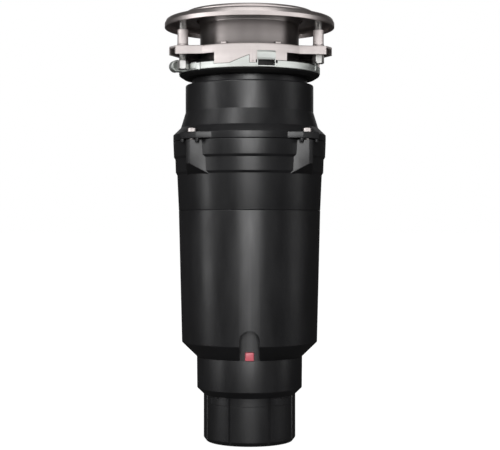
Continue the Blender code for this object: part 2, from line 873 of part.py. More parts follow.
def make_hopper(surface):
    """Upper chamber housing with four ears, screw pockets, pegs and the dishwasher inlet."""
    body = turned("hopper", [
        (66.25, HOPPER_BOTTOM),
        (66.25, RIM_TOP + 0.2),
        (59.7, 270.6),
        (HOPPER_RADIUS, 284.1),
        (HOPPER_RADIUS, HOPPER_SHOULDER - 1.4),
        (HOPPER_RADIUS - 1.4, HOPPER_SHOULDER),
        (NECK_RADIUS, HOPPER_SHOULDER),
        (NECK_RADIUS, NECK_TOP),
        (THROAT_RADIUS, NECK_TOP),
        (THROAT_RADIUS, 305.3),
        (49.0, 305.3),
        (53.0, 301.5),
        (53.0, 283.5),
        (57.8, 270.8),
        (58.2, HOPPER_BOTTOM),
    ])
    ears = four_corners(
        lambda: lug_prism("ear", EAR_SQUARE, EAR_CHAMFER, 28.0, HOPPER_BOTTOM + 0.05, RIM_TOP)
    )
    join(body, *ears)
    pegs = []
    for x, y in ((43.3, 55.9), (55.9, 43.3)):
        for x_side in (-1, 1):
            for y_side in (-1, 1):
                pegs.append(rod_z("peg", 1.9, x_side * x, y_side * y, 255.6, 260.0, 8))
    join(body, *pegs)
    join(body, rod_y("inlet_pipe", INLET_RADIUS, 0.0, INLET_Z, 54.0, INLET_END))
    cut(body, rod_y("inlet_bore", INLET_BORE, 0.0, INLET_Z, 55.6, INLET_END + 2.0))
    for x, y in lug_points():
        cut(body, rod_z("screw_pocket", 4.9, x, y, RIM_TOP - 0.02, 275.0, FINE))
        cut(body, rod_z("screw_hole", 2.1, x, y, HOPPER_BOTTOM - 1.0, 268.0))
    return dress(body, surface)


# ---------------------------------------------------------------- mount cushion and splash guard

def make_mounting_gasket(surface):
    """Rubber cushion between the hopper neck and the mounting rings."""
    neck = NECK_RADIUS + GAP
    return dress(turned("mounting_gasket", [
        (neck, 312.6),
        (59.4, 315.4),
        (60.8, 316.2),
        (60.8, 316.7),
        (59.2, 316.7),
        (59.2, 324.0),
        (58.0, 324.6),
        (42.6, 324.6),
        (42.6, NECK_TOP + GAP),
        (neck, NECK_TOP + GAP),
    ]), surface)


def make_splash_guard(surface):
    """Rubber baffle: a collar with a slit membrane and a centre hole."""
    low = NECK_TOP + GAP
    body = turned("splash_guard", [
        (39.4, low),
        (41.2, low),
        (41.2, 347.0),
        (39.4, 347.0),
        (39.4, 336.4),
        (11.0, 328.4),
        (11.0, 326.4),
        (39.4, 334.6),
    ], SEGMENTS)
    for k in range(6):
        turn = Matrix.Rotation(math.radians(60 * k + 1.9), 4, "Z")
        outline = [(5.0, -0.7), (33.0, -0.7), (33.0, 0.7), (5.0, 0.7)]
        cut(body, prism("slit", outline, 322.0, 342.0, turn))
    return dress(body, surface)


# ---------------------------------------------------------------- sink mount

def make_sink_flange(surface):
    """Drain flange with its sleeve and the groove for the snap ring."""
    return dress(turned("sink_flange", [
        (SLEEVE_BORE, SLEEVE_BOTTOM),
        (SLEEVE_RADIUS, SLEEVE_BOTTOM),
        (SLEEVE_RADIUS, 332.8),
        (SLEEVE_RADIUS - 0.6, 332.8),
        (SLEEVE_RADIUS - 0.6, 335.1),
        (SLEEVE_RADIUS, 335.1),
        (SLEEVE_RADIUS, 360.0),
        (44.6, 364.6),
        (47.0, 366.9),
        (56.4, 366.9),
        (FLANGE_RADIUS, 369.0),
        (55.2, FLANGE_TOP),
        (51.0, FLANGE_TOP),
        (46.0, 368.6),
        (SLEEVE_BORE, 359.4),
    ]), surface)


def make_backup_flange(surface):
    """Pressed ring that backs the sink's underside."""
    return dress(turned("backup_flange", [
        (46.2, 365.3),
        (57.2, 365.3),
        (58.6, 366.4),
        (66.5, 366.4),
        (71.6, 364.6),
        (BACKUP_RADIUS, 361.0),
        (BACKUP_RADIUS, 357.5),
        (BACKUP_RADIUS - 1.6, 357.5),
        (BACKUP_RADIUS - 1.6, 361.0),
        (70.4, 363.4),
        (66.0, 364.8),
        (59.0, 364.8),
        (57.8, 363.7),
        (46.2, 363.7),
    ]), surface)


def make_snap_ring(surface):
    """Split wire ring that holds the upper mounting ring up on the sleeve."""
    profile = [(42.75, 333.1), (45.0, 333.1), (45.0, 334.8), (42.75, 334.8)]
    return dress(sector("snap_ring", profile, 190.0, 530.0, 30), surface)


def ring_outline(inset, overrun):
    """Three-eared outline of the upper ring, moved in by an inset; overrun opens the ear ends."""
    points = []
    radius = RING_RADIUS - inset
    half_width = EAR_HALF_WIDTH - inset * 1.2 - overrun * EAR_TAPER
    for k in range(3):
        middle = EAR_BEARING - 60 + 120 * k
        reach = EAR_ROOT_BEARING
        count = 12
        for i in range(count + 1):
            phi = middle - reach + 2 * reach * i / count
            points.append(polar(radius, phi))
        ear = EAR_BEARING + 120 * k
        out = Vector(polar(1.0, ear))
        across = Vector(polar(1.0, ear + 90))
        tip = EAR_LENGTH + overrun
        for side in (-1, 1):
            corner = out * tip + across * (side * half_width)
            points.append((corner.x, corner.y))
    return points


def apron_cutter(turn):
    """Everything below the upper ring's lower edge over one period of the bayonet."""
    edge = [
        (APRON_LEFT, APRON_LOW),
        (RAMP_FOOT, APRON_LOW),
        (-STEP, APRON_LOW + RAMP_RISE),
        (STEP, APRON_LOW),
        (TONGUE_RIGHT, APRON_LOW),
        (TONGUE_RIGHT + STEP, HOOK_LOW),
        (APRON_RIGHT, HOOK_LOW),
        (APRON_RIGHT + STEP, RING_SKIRT),
        (APRON_LEFT + 120.3, RING_SKIRT),
    ]
    edge = [(phi + turn, z) for phi, z in edge]
    return skirt("below_apron", edge, 305.0, 40.0, 90.0)


def make_upper_mounting_ring(surface):
    """Pressed ring with three channel ears, ramped aprons and threaded screw collars."""
    body = prism("upper_mounting_ring", ring_outline(0.0, 0.0), 312.0, RING_TOP)
    cut(body, prism("hollow", ring_outline(RING_THICK, 4.0), 300.0, RING_TOP - RING_THICK))
    for k in range(3):
        cut(body, apron_cutter(120 * k))
    cut(body, rod_z("sleeve_hole", SLEEVE_RADIUS + 0.5, 0, 0, 320.0, 345.0, SEGMENTS))
    for k in range(3):
        x, y = polar(SCREW_CIRCLE, EAR_BEARING + 120 * k)
        collar = turned("collar", [
            (0.0, RING_TOP - 0.7),
            (5.6, RING_TOP - 0.7),
            (5.6, RING_TOP + 0.6),
            (4.6, RING_TOP + 2.2),
            (4.5, 351.5),
            (0.0, 351.5),
        ], SMALL + 4, (x, y))
        join(body, collar)
        cut(body, rod_z("screw_hole", SCREW_RADIUS + GAP, x, y, 320.0, 355.0, SMALL + 2, 7))
    return dress(body, surface)


def make_mounting_screw(index, surface):
    """Hexagon head screw that presses the backup flange up against the sink."""
    phi = EAR_BEARING + 120 * index
    x, y = polar(SCREW_CIRCLE, phi)
    low = SCREW_HEADS[index]
    seat = low + SCREW_HEAD_HEIGHT
    name = f"mounting_screw_{index + 1}"
    body = prism(name, circle_points(4.9, 6, (x, y), phi - 90 + 30), low, seat)
    join(body, rod_z("rod", SCREW_RADIUS, x, y, seat - 0.5, SCREW_TIP, SMALL + 2))
    return dress(body, surface)


def band_cutter(turn):
    """Everything above the lower ring's upper edge over one period of the bayonet."""
    low = APRON_LOW - EDGE_GAP
    top = APRON_LOW + RAMP_RISE - EDGE_GAP
    edge = [
        (APRON_LEFT - 0.4, low),
        (RAMP_FOOT + 0.2, low),
        (-EDGE_GAP - STEP, top - 0.1),
        (-EDGE_GAP + STEP, low),
        (HOOK_LEFT + 0.5, low),
        (HOOK_LEFT + 0.5 + STEP, WINDOW_LOW),
        (HOOK_RIGHT - 0.5, WINDOW_LOW),
        (HOOK_RIGHT - 0.5 + STEP, BAND_TOP),
        (APRON_LEFT + 119.9, BAND_TOP),
    ]
    edge = [(phi + turn, z) for phi, z in edge]
    return skirt("above_band", edge, 340.0, 50.0, 72.0)


def make_hook(turn):
    """Plate with a window, standing just outside the apron on a narrow foot."""
    def outline(left, right, low, high):
        corners = [(left, low), (right, low), (right, high), (left, high)]
        return [(phi + turn, z) for phi, z in corners]

    post = 1.2
    plate_edge = outline(HOOK_LEFT, HOOK_RIGHT, BAND_BOTTOM + 0.1, HOOK_TOP)
    plate = patch("plate", plate_edge, HOOK_INNER, HOOK_OUTER)
    window_edge = outline(HOOK_LEFT + post, HOOK_RIGHT - post, WINDOW_LOW, HOOK_LOW)
    cut(plate, patch("window", window_edge, HOOK_INNER - 2.0, HOOK_OUTER + 2.0))
    foot_edge = outline(HOOK_LEFT + 0.3, HOOK_RIGHT - 0.3, BAND_BOTTOM + 0.3, WINDOW_LOW - 0.2)
    join(plate, patch("foot", foot_edge, RING_RADIUS - 0.8, HOOK_INNER + 0.9))
    return plate


def make_eye(phi):
    """Wrench eye with its axis along the ring, closed at its far end."""
    outline = circle_points(5.0, 12)
    place = Matrix.Rotation(math.radians(phi), 4, "Z") @ Matrix.Translation((0, -EYE_CIRCLE, 322.0))
    place = place @ Matrix.Rotation(math.radians(90), 4, "Y")
    ring = prism("eye", outline, -4.5, 4.5, place)
    cut(ring, prism("eye_hole", circle_points(3.5, 12), -3.3, 6.0, place))
    half = math.degrees(3.8 / RING_RADIUS)
    web = [
        (phi - half, BAND_BOTTOM + 0.3),
        (phi + half, BAND_BOTTOM + 0.3),
        (phi + half, BAND_BOTTOM + 2.2),
        (phi - half, BAND_BOTTOM + 2.2),
    ]
    join(ring, patch("web", web, 60.5, EYE_CIRCLE - 1.4))
    return ring


def make_lower_mounting_ring(surface):
    """Turning ring: a band with three ramps, three hooks and two wrench eyes."""
    inner = RING_RADIUS - RING_THICK
    body = turned("lower_mounting_ring", [
        (inner, BAND_BOTTOM),
        (RING_RADIUS, BAND_BOTTOM),
        (RING_RADIUS, 331.0),
        (inner, 331.0),
    ])
    for k in range(3):
        cut(body, band_cutter(120 * k))
    for k in range(3):
        join(body, make_hook(120 * k))
    join(body, make_eye(EYE_BEARING), make_eye(REAR_EYE_BEARING))
    return dress(body, surface)


# ---------------------------------------------------------------- the whole object

def build_base(look):
    """Bottom housing, reset parts and wiring compartment."""
    make_bottom_housing(look["black_plastic"])
    make_terminal_cover(look["zinc_plate"])
    make_screw("terminal_cover_screw", look["zinc_plate"], 0.0, 13.6, 2.8, 1.6, 0.4, 1.3, 8.0)
    make_screw("earth_screw", look["green_screw"], -20.0, -8.0, 3.4, 1.7, 0.3, 1.7, 9.0)
    make_outer_shell(look["black_plastic"])
    make_reset_button(look["red_plastic"])
    make_overload_protector(look["black_plastic"])
    dress(block("start_relay", (8.0, 28.0), (-11.0, 11.0), (14.0, 40.0)), look["black_plastic"])


def build_motor(look):
    """Induction motor: stator, rotor, bearings, frames and bolts."""
    make_end_frame("lower_end_frame", look["cast_aluminium"], 102.5, 105.7, 87.0)
    make_end_frame("upper_end_frame", look["cast_aluminium"], 190.3, 194.0, 179.0)
    tube("motor_can", look["core_steel"], CAN_INNER, CAN_RADIUS, CAN_BOTTOM, CAN_TOP, INNER)
    tube("sound_insulation", look["foam"], 54.4, 56.0, 106.0, 196.0, INNER)
    tube("lower_bearing", look["bronze"], SHAFT_RADIUS + GAP, BEARING_RADIUS, 90.0, 104.0)
    tube("upper_bearing", look["bronze"], SHAFT_RADIUS + GAP, BEARING_RADIUS, 179.5, 193.5)
    tube("thrust_washer", look["bronze"], SHAFT_RADIUS + GAP, 11.5, 106.1, 107.4)
    make_stator_core(look["core_steel"])
    make_winding("stator_winding_lower", look["copper"], 109.0, STATOR_BOTTOM - GAP)
    make_winding("stator_winding_upper", look["copper"], STATOR_TOP + GAP, 183.0)
    tube("rotor_core", look["core_steel"], SHAFT_RADIUS + GAP, ROTOR_RADIUS, 123.0, 169.0)
    make_end_ring("rotor_end_ring_lower", look["cast_aluminium"], 117.0, 122.7, 110.5, 117.4)
    make_end_ring("rotor_end_ring_upper", look["cast_aluminium"], 169.3, 175.0, 174.6, 178.0)
    make_motor_shaft(look["stainless"])
    for index, phi in enumerate(LUG_BEARINGS, start=1):
        make_through_bolt(index, phi, look["zinc_plate"])


def build_drain(look):
    """Drain housing, its seals and the discharge parts."""
    make_drain_housing(look["black_plastic"])
    make_shaft_seal(look["black_rubber"])
    seal_low = HOUSING_TOP - 1.4
    tube("housing_seal", look["grey_rubber"], 58.3, 60.3, seal_low, HOUSING_TOP, SEGMENTS)
    make_discharge_gasket(look["grey_rubber"])
    make_discharge_elbow(look["black_plastic"])
    make_discharge_flange(look["zinc_plate"])
    make_discharge_screw(1, -1, look["zinc_plate"])
    make_discharge_screw(2, 1, look["zinc_plate"])


def build_grinder(look):
    """Grind ring, turntable, impellers and the hopper above them."""
    make_grind_ring(look["stainless"])
    make_turntable(look["stainless"])
    for index, side in ((1, -1), (2, 1)):
        make_impeller(index, side, look["stainless"])
        make_impeller_pin(index, side, look["stainless"])
    make_turntable_nut(look["zinc_plate"])
    make_hopper(look["black_plastic"])
    for index, (x, y) in enumerate(lug_points(), start=1):
        name = f"hopper_screw_{index}"
        make_screw(name, look["stainless"], x, y, 3.9, 1.7, 267.6, RIM_TOP + GAP, 245.0)


def build_mount(look):
    """Rubber cushion, mounting rings, sleeve and sink flange."""
    make_mounting_gasket(look["black_rubber"])
    make_splash_guard(look["black_rubber"])
    make_lower_mounting_ring(look["zinc_plate"])
    make_upper_mounting_ring(look["zinc_plate"])
    make_snap_ring(look["stainless"])
    for index in range(3):
        make_mounting_screw(index, look["zinc_plate"])
    make_backup_flange(look["zinc_plate"])
    tube("fibre_gasket", look["fibre"], 48.0, 56.6, 365.6, 366.6, SEGMENTS)
    make_sink_flange(look["stainless"])


def main():
    """Build every piece of the object."""
    clear_scene()
    look = make_materials()
    build_base(look)
    build_motor(look)
    build_drain(look)
    build_grinder(look)
    build_mount(look)


main()
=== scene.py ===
"""Looks of the kitchen garbage disposal: detailed pieces and procedural materials round the CAD frame.

Lengths below are in millimetres, like the builders that use them, and are turned into metres when a
mesh is finished.  A bearing "phi" is measured in degrees from the front (-Y), positive towards +X.
Heights and radii that the frame knows are read from it.
"""

import json
import math

import bmesh
import bpy
from mathutils import Matrix, Vector


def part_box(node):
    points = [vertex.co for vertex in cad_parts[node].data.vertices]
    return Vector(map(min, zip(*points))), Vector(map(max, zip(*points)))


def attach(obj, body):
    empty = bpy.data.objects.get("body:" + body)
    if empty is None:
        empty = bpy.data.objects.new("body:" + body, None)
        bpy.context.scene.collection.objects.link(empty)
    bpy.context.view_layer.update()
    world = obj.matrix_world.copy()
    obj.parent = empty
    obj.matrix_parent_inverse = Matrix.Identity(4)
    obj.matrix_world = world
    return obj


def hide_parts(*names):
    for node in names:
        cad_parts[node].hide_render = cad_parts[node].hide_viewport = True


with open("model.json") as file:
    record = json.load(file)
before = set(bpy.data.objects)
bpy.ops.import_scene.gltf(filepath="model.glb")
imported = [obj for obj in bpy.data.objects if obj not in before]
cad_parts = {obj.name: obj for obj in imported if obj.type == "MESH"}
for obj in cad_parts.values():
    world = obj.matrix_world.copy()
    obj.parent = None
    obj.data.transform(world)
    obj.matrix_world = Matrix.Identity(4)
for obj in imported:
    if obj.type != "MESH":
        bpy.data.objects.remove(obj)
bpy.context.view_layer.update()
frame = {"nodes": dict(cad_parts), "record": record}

MM = 0.001
ROUND = 160
MEDIUM = 96
SMALL = 32
FILLET_STEPS = 4
CORNERS = (45, 135, 225, 315)


def low_of(node, axis):
    """Lowest coordinate of a CAD node along an axis, in millimetres."""
    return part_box(node)[0][axis] / MM


def high_of(node, axis):
    """Highest coordinate of a CAD node along an axis, in millimetres."""
    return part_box(node)[1][axis] / MM


def span(node, axis):
    """Both of a CAD node's limits along an axis."""
    return low_of(node, axis), high_of(node, axis)


# Heights and radii of the frame
SKIRT_TOP_TAB = high_of("bottom_housing", 2)
SHELL_LOW = low_of("outer_shell", 2)
SHELL_HIGH = high_of("outer_shell", 2)
SHELL_RADIUS = high_of("outer_shell", 0)
SPIGOT_LOW = low_of("drain_housing", 2)
DRAIN_HIGH = high_of("drain_housing", 2)
OUTLET_FACE = high_of("drain_housing", 1)
HOPPER_LOW = DRAIN_HIGH + 0.3
HOPPER_HIGH = high_of("hopper", 2)
INLET_END = high_of("hopper", 1)
LIP_RADIUS = high_of("mounting_gasket", 0)
CUSHION_LOW = low_of("mounting_gasket", 2)
CUSHION_HIGH = high_of("mounting_gasket", 2)
BAND_LOW = low_of("lower_mounting_ring", 2)
HOOK_HIGH = high_of("lower_mounting_ring", 2)
SCREW_TIP = high_of("mounting_screw_1", 2)
FLANGE_TOP = high_of("sink_flange", 2)
FLANGE_RADIUS = high_of("sink_flange", 0)
SLEEVE_LOW = low_of("sink_flange", 2)
BACKUP_RADIUS = high_of("backup_flange", 0)
BACKUP_LOW = low_of("backup_flange", 2)
BACKUP_HIGH = high_of("backup_flange", 2)
ELBOW_LOW = low_of("discharge_elbow", 2)
BUTTON_BOX = [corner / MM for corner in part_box("reset_button")]

# Sizes that the frame's boxes don't give
TUBE_RADIUS = 39.8
TUBE_TOP = 40.8
SKIRT_RADIUS = 45.75
SKIRT_TOP = 73.1
GROOVE_BEARING = 24.7
RECESS_HALF = 8.4
RECESS_SPRING = 90.9
BUTTON_Z = 76.8
BUTTON_HOLE = 3.9
OUTLET_Z = 226.0
OUTLET_SCREW_X = 27.0
LUG_RADIUS = 67.8
RING_RADIUS = 61.2
RING_TOP = 337.0
RING_SKIRT = 329.9
RING_THICK = 1.5
EAR_BEARING = 61.7
EAR_LENGTH = 76.0
EAR_HALF_WIDTH = 6.0
EAR_ROOT = 42.0
EAR_TAPER = 0.725
EAR_ROOT_FILLET = 7.0
SCREW_CIRCLE = 66.1
COLLAR_TOP = 351.5
APRON_LEFT = -28.6
APRON_RIGHT = 30.4
APRON_LOW = 320.8
RAMP_FOOT = -16.1
RAMP_RISE = 6.6
TONGUE_RIGHT = 4.9
HOOK_LEFT = 5.8
HOOK_RIGHT = 20.0
HOOK_LOW = 323.1
WINDOW_LOW = 318.1
BAND_TOP = 322.6
NOTCH_LOW = 320.4
NOTCH_RIGHT = 22.4
EDGE_GAP = 0.35
SLIVER = 0.03
SEAM = 0.08
SPIGOT_INNER = 57.0
SPIGOT_OUTER = 58.7
INLET_Z = 296.0
EYE_CIRCLE = 66.8
EYE_Z = 322.0
EYE_RADIUS = 5.0
EYE_HOLE = 3.5
EYE_BEARINGS = (-70.0, 170.0)
HOOK_INNER = 61.6
HOOK_FACE = 63.0
HOOK_BULGE = 63.4
KNUCKLE_LEFT = -54.2
KNUCKLE_OUTER = 61.75
DENT_BEARING = -43.5
DENT_RADIUS = 4.0
DENT_CIRCLE = 64.7
COLLAR_RADIUS = 4.5
SCREW_HEAD_RADIUS = 4.9
SCREW_HEAD_HEIGHT = 7.4
SCREW_RADIUS = 3.2
SLEEVE_RADIUS = 42.9
PEG_PLACES = ((43.3, 55.9), (55.9, 43.3))
PEG_RADIUS = 1.9
HOPPER_WALL = 55.55
HOPPER_RIM = 264.1
NECK_RADIUS = 50.0
THROAT_RADIUS = 40.5
SHOULDER = 307.7
PIN_CIRCLE = 36.0
DRAIN_LOW = SHELL_HIGH + SEAM

# Camera and stage, in metres apart from the lens and its sensor
LENS = 91.4
SENSOR = 36.0
CAMERA_PLACE = (0.0004, -1.105, 0.1868)
AIM_HEIGHT = 0.2
FLOOR_Z = -0.0004
FLOOR_RINGS = (0.3, 1.0, 3.0, 9.0, 27.0)

# Where the painted shade of the steel under the flange and on the sleeve fades, in metres: radius, upper
# and lower height
PAINTED_SHADE_RADIUS = (0.0700, 0.0720)
PAINTED_SHADE_TOP = (0.3645, 0.3660)
PAINTED_SHADE_FOOT = (0.3400, 0.3540)


# ---------------------------------------------------------------- mesh builders

def polar(radius, phi):
    """The point at a bearing from the front."""
    angle = math.radians(phi)
    return radius * math.sin(angle), -radius * math.cos(angle)


def filleted(points, closed=True):
    """Outline from (a, b) or (a, b, fillet) points, with round corners where a fillet is given."""
    made = []
    count = len(points)
    for i, point in enumerate(points):
        here = Vector(point[:2])
        inner = closed or 0 < i < count - 1
        if len(point) < 3 or not inner:
            made.append(here)
            continue
        back = Vector(points[i - 1][:2]) - here
        ahead = Vector(points[(i + 1) % count][:2]) - here
        angle = back.angle(ahead)
        reach = point[2] / math.tan(angle / 2)
        reach = min(reach, 0.48 * back.length, 0.48 * ahead.length)
        start = here + back.normalized() * reach
        end = here + ahead.normalized() * reach
        for k in range(FILLET_STEPS + 1):
            t = k / FILLET_STEPS
            made.append(start * (1 - t) ** 2 + here * 2 * t * (1 - t) + end * t * t)
    return [tuple(p) for p in made]


def to_object(name, bm):
    """Turn a bmesh in millimetres into an object in metres."""
    bmesh.ops.recalc_face_normals(bm, faces=bm.faces)
    bmesh.ops.scale(bm, verts=bm.verts, vec=(MM, MM, MM))
    mesh = bpy.data.meshes.new(name)
    bm.to_mesh(mesh)
    bm.free()
    made = bpy.data.objects.new(name, mesh)
    bpy.context.scene.collection.objects.link(made)
    return made


def skin(bm, rings, closed):
    """Join rings of vertices with faces; a ring of one vertex is a pole."""
    pairs = list(zip(rings, rings[1:]))
    if closed:
        pairs.append((rings[-1], rings[0]))
    for lower, upper in pairs:
        count = max(len(lower), len(upper))
        if count == 1:
            continue
        for i in range(count):
            j = (i + 1) % count
            corners = [
                lower[i % len(lower)],
                lower[j % len(lower)],
                upper[j % len(upper)],
                upper[i % len(upper)],
            ]
            bm.faces.new(list(dict.fromkeys(corners)))


def loft(name, sections, closed=False, matrix=None):
    """Body through sections of points, capped at both ends unless it closes on itself."""
    bm = bmesh.new()
    rings = [[bm.verts.new(point) for point in section] for section in sections]
    skin(bm, rings, closed)
    if not closed:
        bm.faces.new(rings[0])
        bm.faces.new(rings[-1])
    if matrix is not None:
        bmesh.ops.transform(bm, matrix=matrix, verts=bm.verts)
    return to_object(name, bm)


def lathe(name, profile, steps=ROUND, centre=(0.0, 0.0)):
    """Body turned about a vertical axis from a closed outline of (radius, z[, fillet]) points."""
    sections = []
    for radius, z in filleted(profile):
        pole = radius < 0.01
        points = [centre] if pole else circle(radius, steps, centre)
        sections.append([(x, y, z) for x, y in points])
    return loft(name, sections, closed=True)


def prism(name, outline, low, high, matrix=None):
    """Body extruded along Z from an (x, y[, fillet]) outline, then placed by a matrix."""
    points = filleted(outline)
    return loft(name, [[(x, y, z) for x, y in points] for z in (low, high)], matrix=matrix)


def wall_strip(name, stations, inner, outer, closed=False):
    """Part of a cylinder wall, or all of it, from (phi, z_low, z_high) stations."""
    sections = []
    for phi, z_low, z_high in stations:
        corners = [(inner, z_low), (outer, z_low), (outer, z_high), (inner, z_high)]
        sections.append([(*polar(radius, phi), z) for radius, z in corners])
    return loft(name, sections, closed)


def spread(edge, step=2.0):
    """Points along a broken line of (phi, z), no further than a step of phi apart."""
    points = []
    for (phi, z), (phi_next, z_next) in zip(edge, edge[1:]):
        count = max(1, math.ceil(abs(phi_next - phi) / step))
        for i in range(count):
            share = i / count
            points.append((phi + (phi_next - phi) * share, z + (z_next - z) * share))
    points.append(edge[-1])
    return points


def circle(radius, count, centre=(0.0, 0.0), start=0.0):
    """Points evenly round a circle."""
    points = []
    for i in range(count):
        angle = math.radians(start) + 2 * math.pi * i / count
        points.append((centre[0] + radius * math.cos(angle), centre[1] + radius * math.sin(angle)))
    return points


def arc(radius, start, end, count, centre=(0.0, 0.0)):
    """Points along an arc, both ends included; angles in degrees from +X."""
    points = []
    for i in range(count + 1):
        angle = math.radians(start + (end - start) * i / count)
        points.append((centre[0] + radius * math.cos(angle), centre[1] + radius * math.sin(angle)))
    return points


def stadium(half_length, half_width, count=24):
    """Outline with two straight sides and two round ends."""
    offset = half_length - half_width
    right = arc(half_width, -90, 90, count, (offset, 0.0))
    left = arc(half_width, 90, 270, count, (-offset, 0.0))
    return right + left


def along_y(x, z):
    """Matrix that turns a prism's Z into +Y, its X into -X and its Y into +Z, centred on a line."""
    return Matrix(((-1, 0, 0, x), (0, 0, 1, 0), (0, 1, 0, z), (0, 0, 0, 1)))


def turn_z(phi):
    """Rotation about the object's axis by a bearing."""
    return Matrix.Rotation(math.radians(phi), 4, "Z")


def rod_y(name, radius, x, z, y_low, y_high, steps=64):
    """Round bar along Y."""
    return prism(name, circle(radius, steps), y_low, y_high, along_y(x, z))


def rod_z(name, radius, x, y, z_low, z_high, steps=SMALL, start=0.0):
    """Round bar along Z."""
    return prism(name, circle(radius, steps, (x, y), start), z_low, z_high)


def apply(made):
    """Replace an object's mesh with its evaluated one and drop the modifiers."""
    bpy.context.view_layer.update()
    graph = bpy.context.evaluated_depsgraph_get()
    result = bpy.data.meshes.new_from_object(made.evaluated_get(graph))
    made.modifiers.clear()
    old = made.data
    made.data = result
    bpy.data.meshes.remove(old)
    return made


def boolean(target, tools, operation):
    """Apply a Boolean with each tool in turn and remove the tools."""
    for tool in tools:
        modifier = target.modifiers.new(operation, "BOOLEAN")
        modifier.object = tool
        modifier.operation = operation
        modifier.solver = "EXACT"
        apply(target)
        bpy.data.objects.remove(tool, do_unlink=True)
    return target


def join(target, *tools):
    """Union of the target with its tools."""
    return boolean(target, tools, "UNION")


def cut(target, *tools):
    """The target with its tools cut away."""
    return boolean(target, tools, "DIFFERENCE")


def soften(made, width, angle=30.0, segments=3):
    """Round the sharp edges of a piece."""
    bevel = made.modifiers.new("edges", "BEVEL")
    bevel.width = width * MM
    bevel.segments = segments
    bevel.limit_method = "ANGLE"
    bevel.angle_limit = math.radians(angle)
    bevel.use_clamp_overlap = True
    return apply(made)


# ---------------------------------------------------------------- materials

class Nodes:
    """Short hand for building one material's node tree."""

    def __init__(self, name):
        self.material = bpy.data.materials.new(name)
        self.material.use_nodes = True
        self.tree = self.material.node_tree
        self.shader = self.tree.nodes["Principled BSDF"]

    def add(self, kind, **values):
        """A node with its properties and, for names that are sockets, their default values."""
        node = self.tree.nodes.new(kind)
        for key, value in values.items():
            if hasattr(node, key):
                setattr(node, key, value)
            else:
                node.inputs[key.replace("_", " ")].default_value = value
        return node

    def link(self, source, target):
        self.tree.links.new(source, target)

    def place(self, turned=False):
        """Object coordinates; turned gives (radius, 0, z), so patterns run round the axis."""
        coordinates = self.add("ShaderNodeTexCoord")
        if not turned:
            return coordinates.outputs["Object"]
        split = self.add("ShaderNodeSeparateXYZ")
        self.link(coordinates.outputs["Object"], split.inputs[0])
        flat = self.add("ShaderNodeCombineXYZ")
        self.link(split.outputs["X"], flat.inputs["X"])
        self.link(split.outputs["Y"], flat.inputs["Y"])
        length = self.add("ShaderNodeVectorMath", operation="LENGTH")
        self.link(flat.outputs[0], length.inputs[0])
        made = self.add("ShaderNodeCombineXYZ")
        self.link(length.outputs["Value"], made.inputs["X"])
        self.link(split.outputs["Z"], made.inputs["Z"])
        return made.outputs[0]

    def noise(self, place, scale, detail=3.0, stretch=(1.0, 1.0, 1.0)):
        """Noise at a scale in cycles a metre."""
        mapping = self.add("ShaderNodeMapping")
        mapping.inputs["Scale"].default_value = stretch
        self.link(place, mapping.inputs["Vector"])
        node = self.add("ShaderNodeTexNoise", Scale=scale, Detail=detail)
        self.link(mapping.outputs[0], node.inputs["Vector"])
        return node.outputs["Fac"]

    def spread(self, value, low, high, start=0.3, end=0.7):
        """Map a factor between start and end onto a range."""
        node = self.add("ShaderNodeMapRange", From_Min=start, From_Max=end, To_Min=low, To_Max=high)
        self.link(value, node.inputs["Value"])
        return node.outputs["Result"]

    def mix(self, factor, first, second):
        """Mix two colours, each given as a tuple or as a socket."""
        node = self.add("ShaderNodeMix", data_type="RGBA")
        self.link(factor, node.inputs["Factor"])
        for index, colour in ((6, first), (7, second)):
            if isinstance(colour, tuple):
                node.inputs[index].default_value = (*colour, 1.0)
            else:
                self.link(colour, node.inputs[index])
        return node.outputs[2]

    def bump(self, heights):
        """Chain of bumps from (height socket, strength, distance in metres)."""
        last = None
        for height, strength, distance in heights:
            node = self.add("ShaderNodeBump", Strength=strength, Distance=distance)
            self.link(height, node.inputs["Height"])
            if last is not None:
                self.link(last.outputs[0], node.inputs["Normal"])
            last = node
        self.link(last.outputs[0], self.shader.inputs["Normal"])

    def times(self, value, factor):
        """Product of a factor socket with a number or with another socket."""
        node = self.add("ShaderNodeMath", operation="MULTIPLY")
        self.link(value, node.inputs[0])
        if isinstance(factor, float):
            node.inputs[1].default_value = factor
        else:
            self.link(factor, node.inputs[1])
        return node.outputs[0]

    def paint_shade(self, tone, colour):
        """Painted shade: a dark brown tone where the flange shades the mount, on the sleeve and under the
        flange, deepest at the sleeve's foot.
        """
        split = self.add("ShaderNodeSeparateXYZ")
        self.link(self.place(turned=True), split.inputs[0])
        inside = self.spread(split.outputs["X"], 1.0, 0.0, *PAINTED_SHADE_RADIUS)
        below = self.spread(split.outputs["Z"], 1.0, 0.0, *PAINTED_SHADE_TOP)
        foot = self.spread(split.outputs["Z"], 0.88, 0.58, *PAINTED_SHADE_FOOT)
        # Painted shade: strongest inside the flange's radius and below its top, and darkest near the foot
        # of the sleeve
        shade_amount = self.times(self.times(inside, below), foot)
        return self.mix(shade_amount, tone, scaled(colour, 0.16))

    def finish(self, tone, metallic, roughness, heights):
        """Set the shader's colour, metal share, roughness and bumps; returns the material."""
        self.link(tone, self.shader.inputs["Base Color"])
        self.shader.inputs["Metallic"].default_value = metallic
        self.link(roughness, self.shader.inputs["Roughness"])
        self.bump(heights)
        return self.material

    def edges(self, low, high):
        """Factor that rises on worn convex edges."""
        geometry = self.add("ShaderNodeNewGeometry")
        return self.spread(geometry.outputs["Pointiness"], 0.0, 1.0, low, high)


def scaled(colour, factor):
    """A colour made lighter or darker."""
    return tuple(min(1.0, channel * factor) for channel in colour)


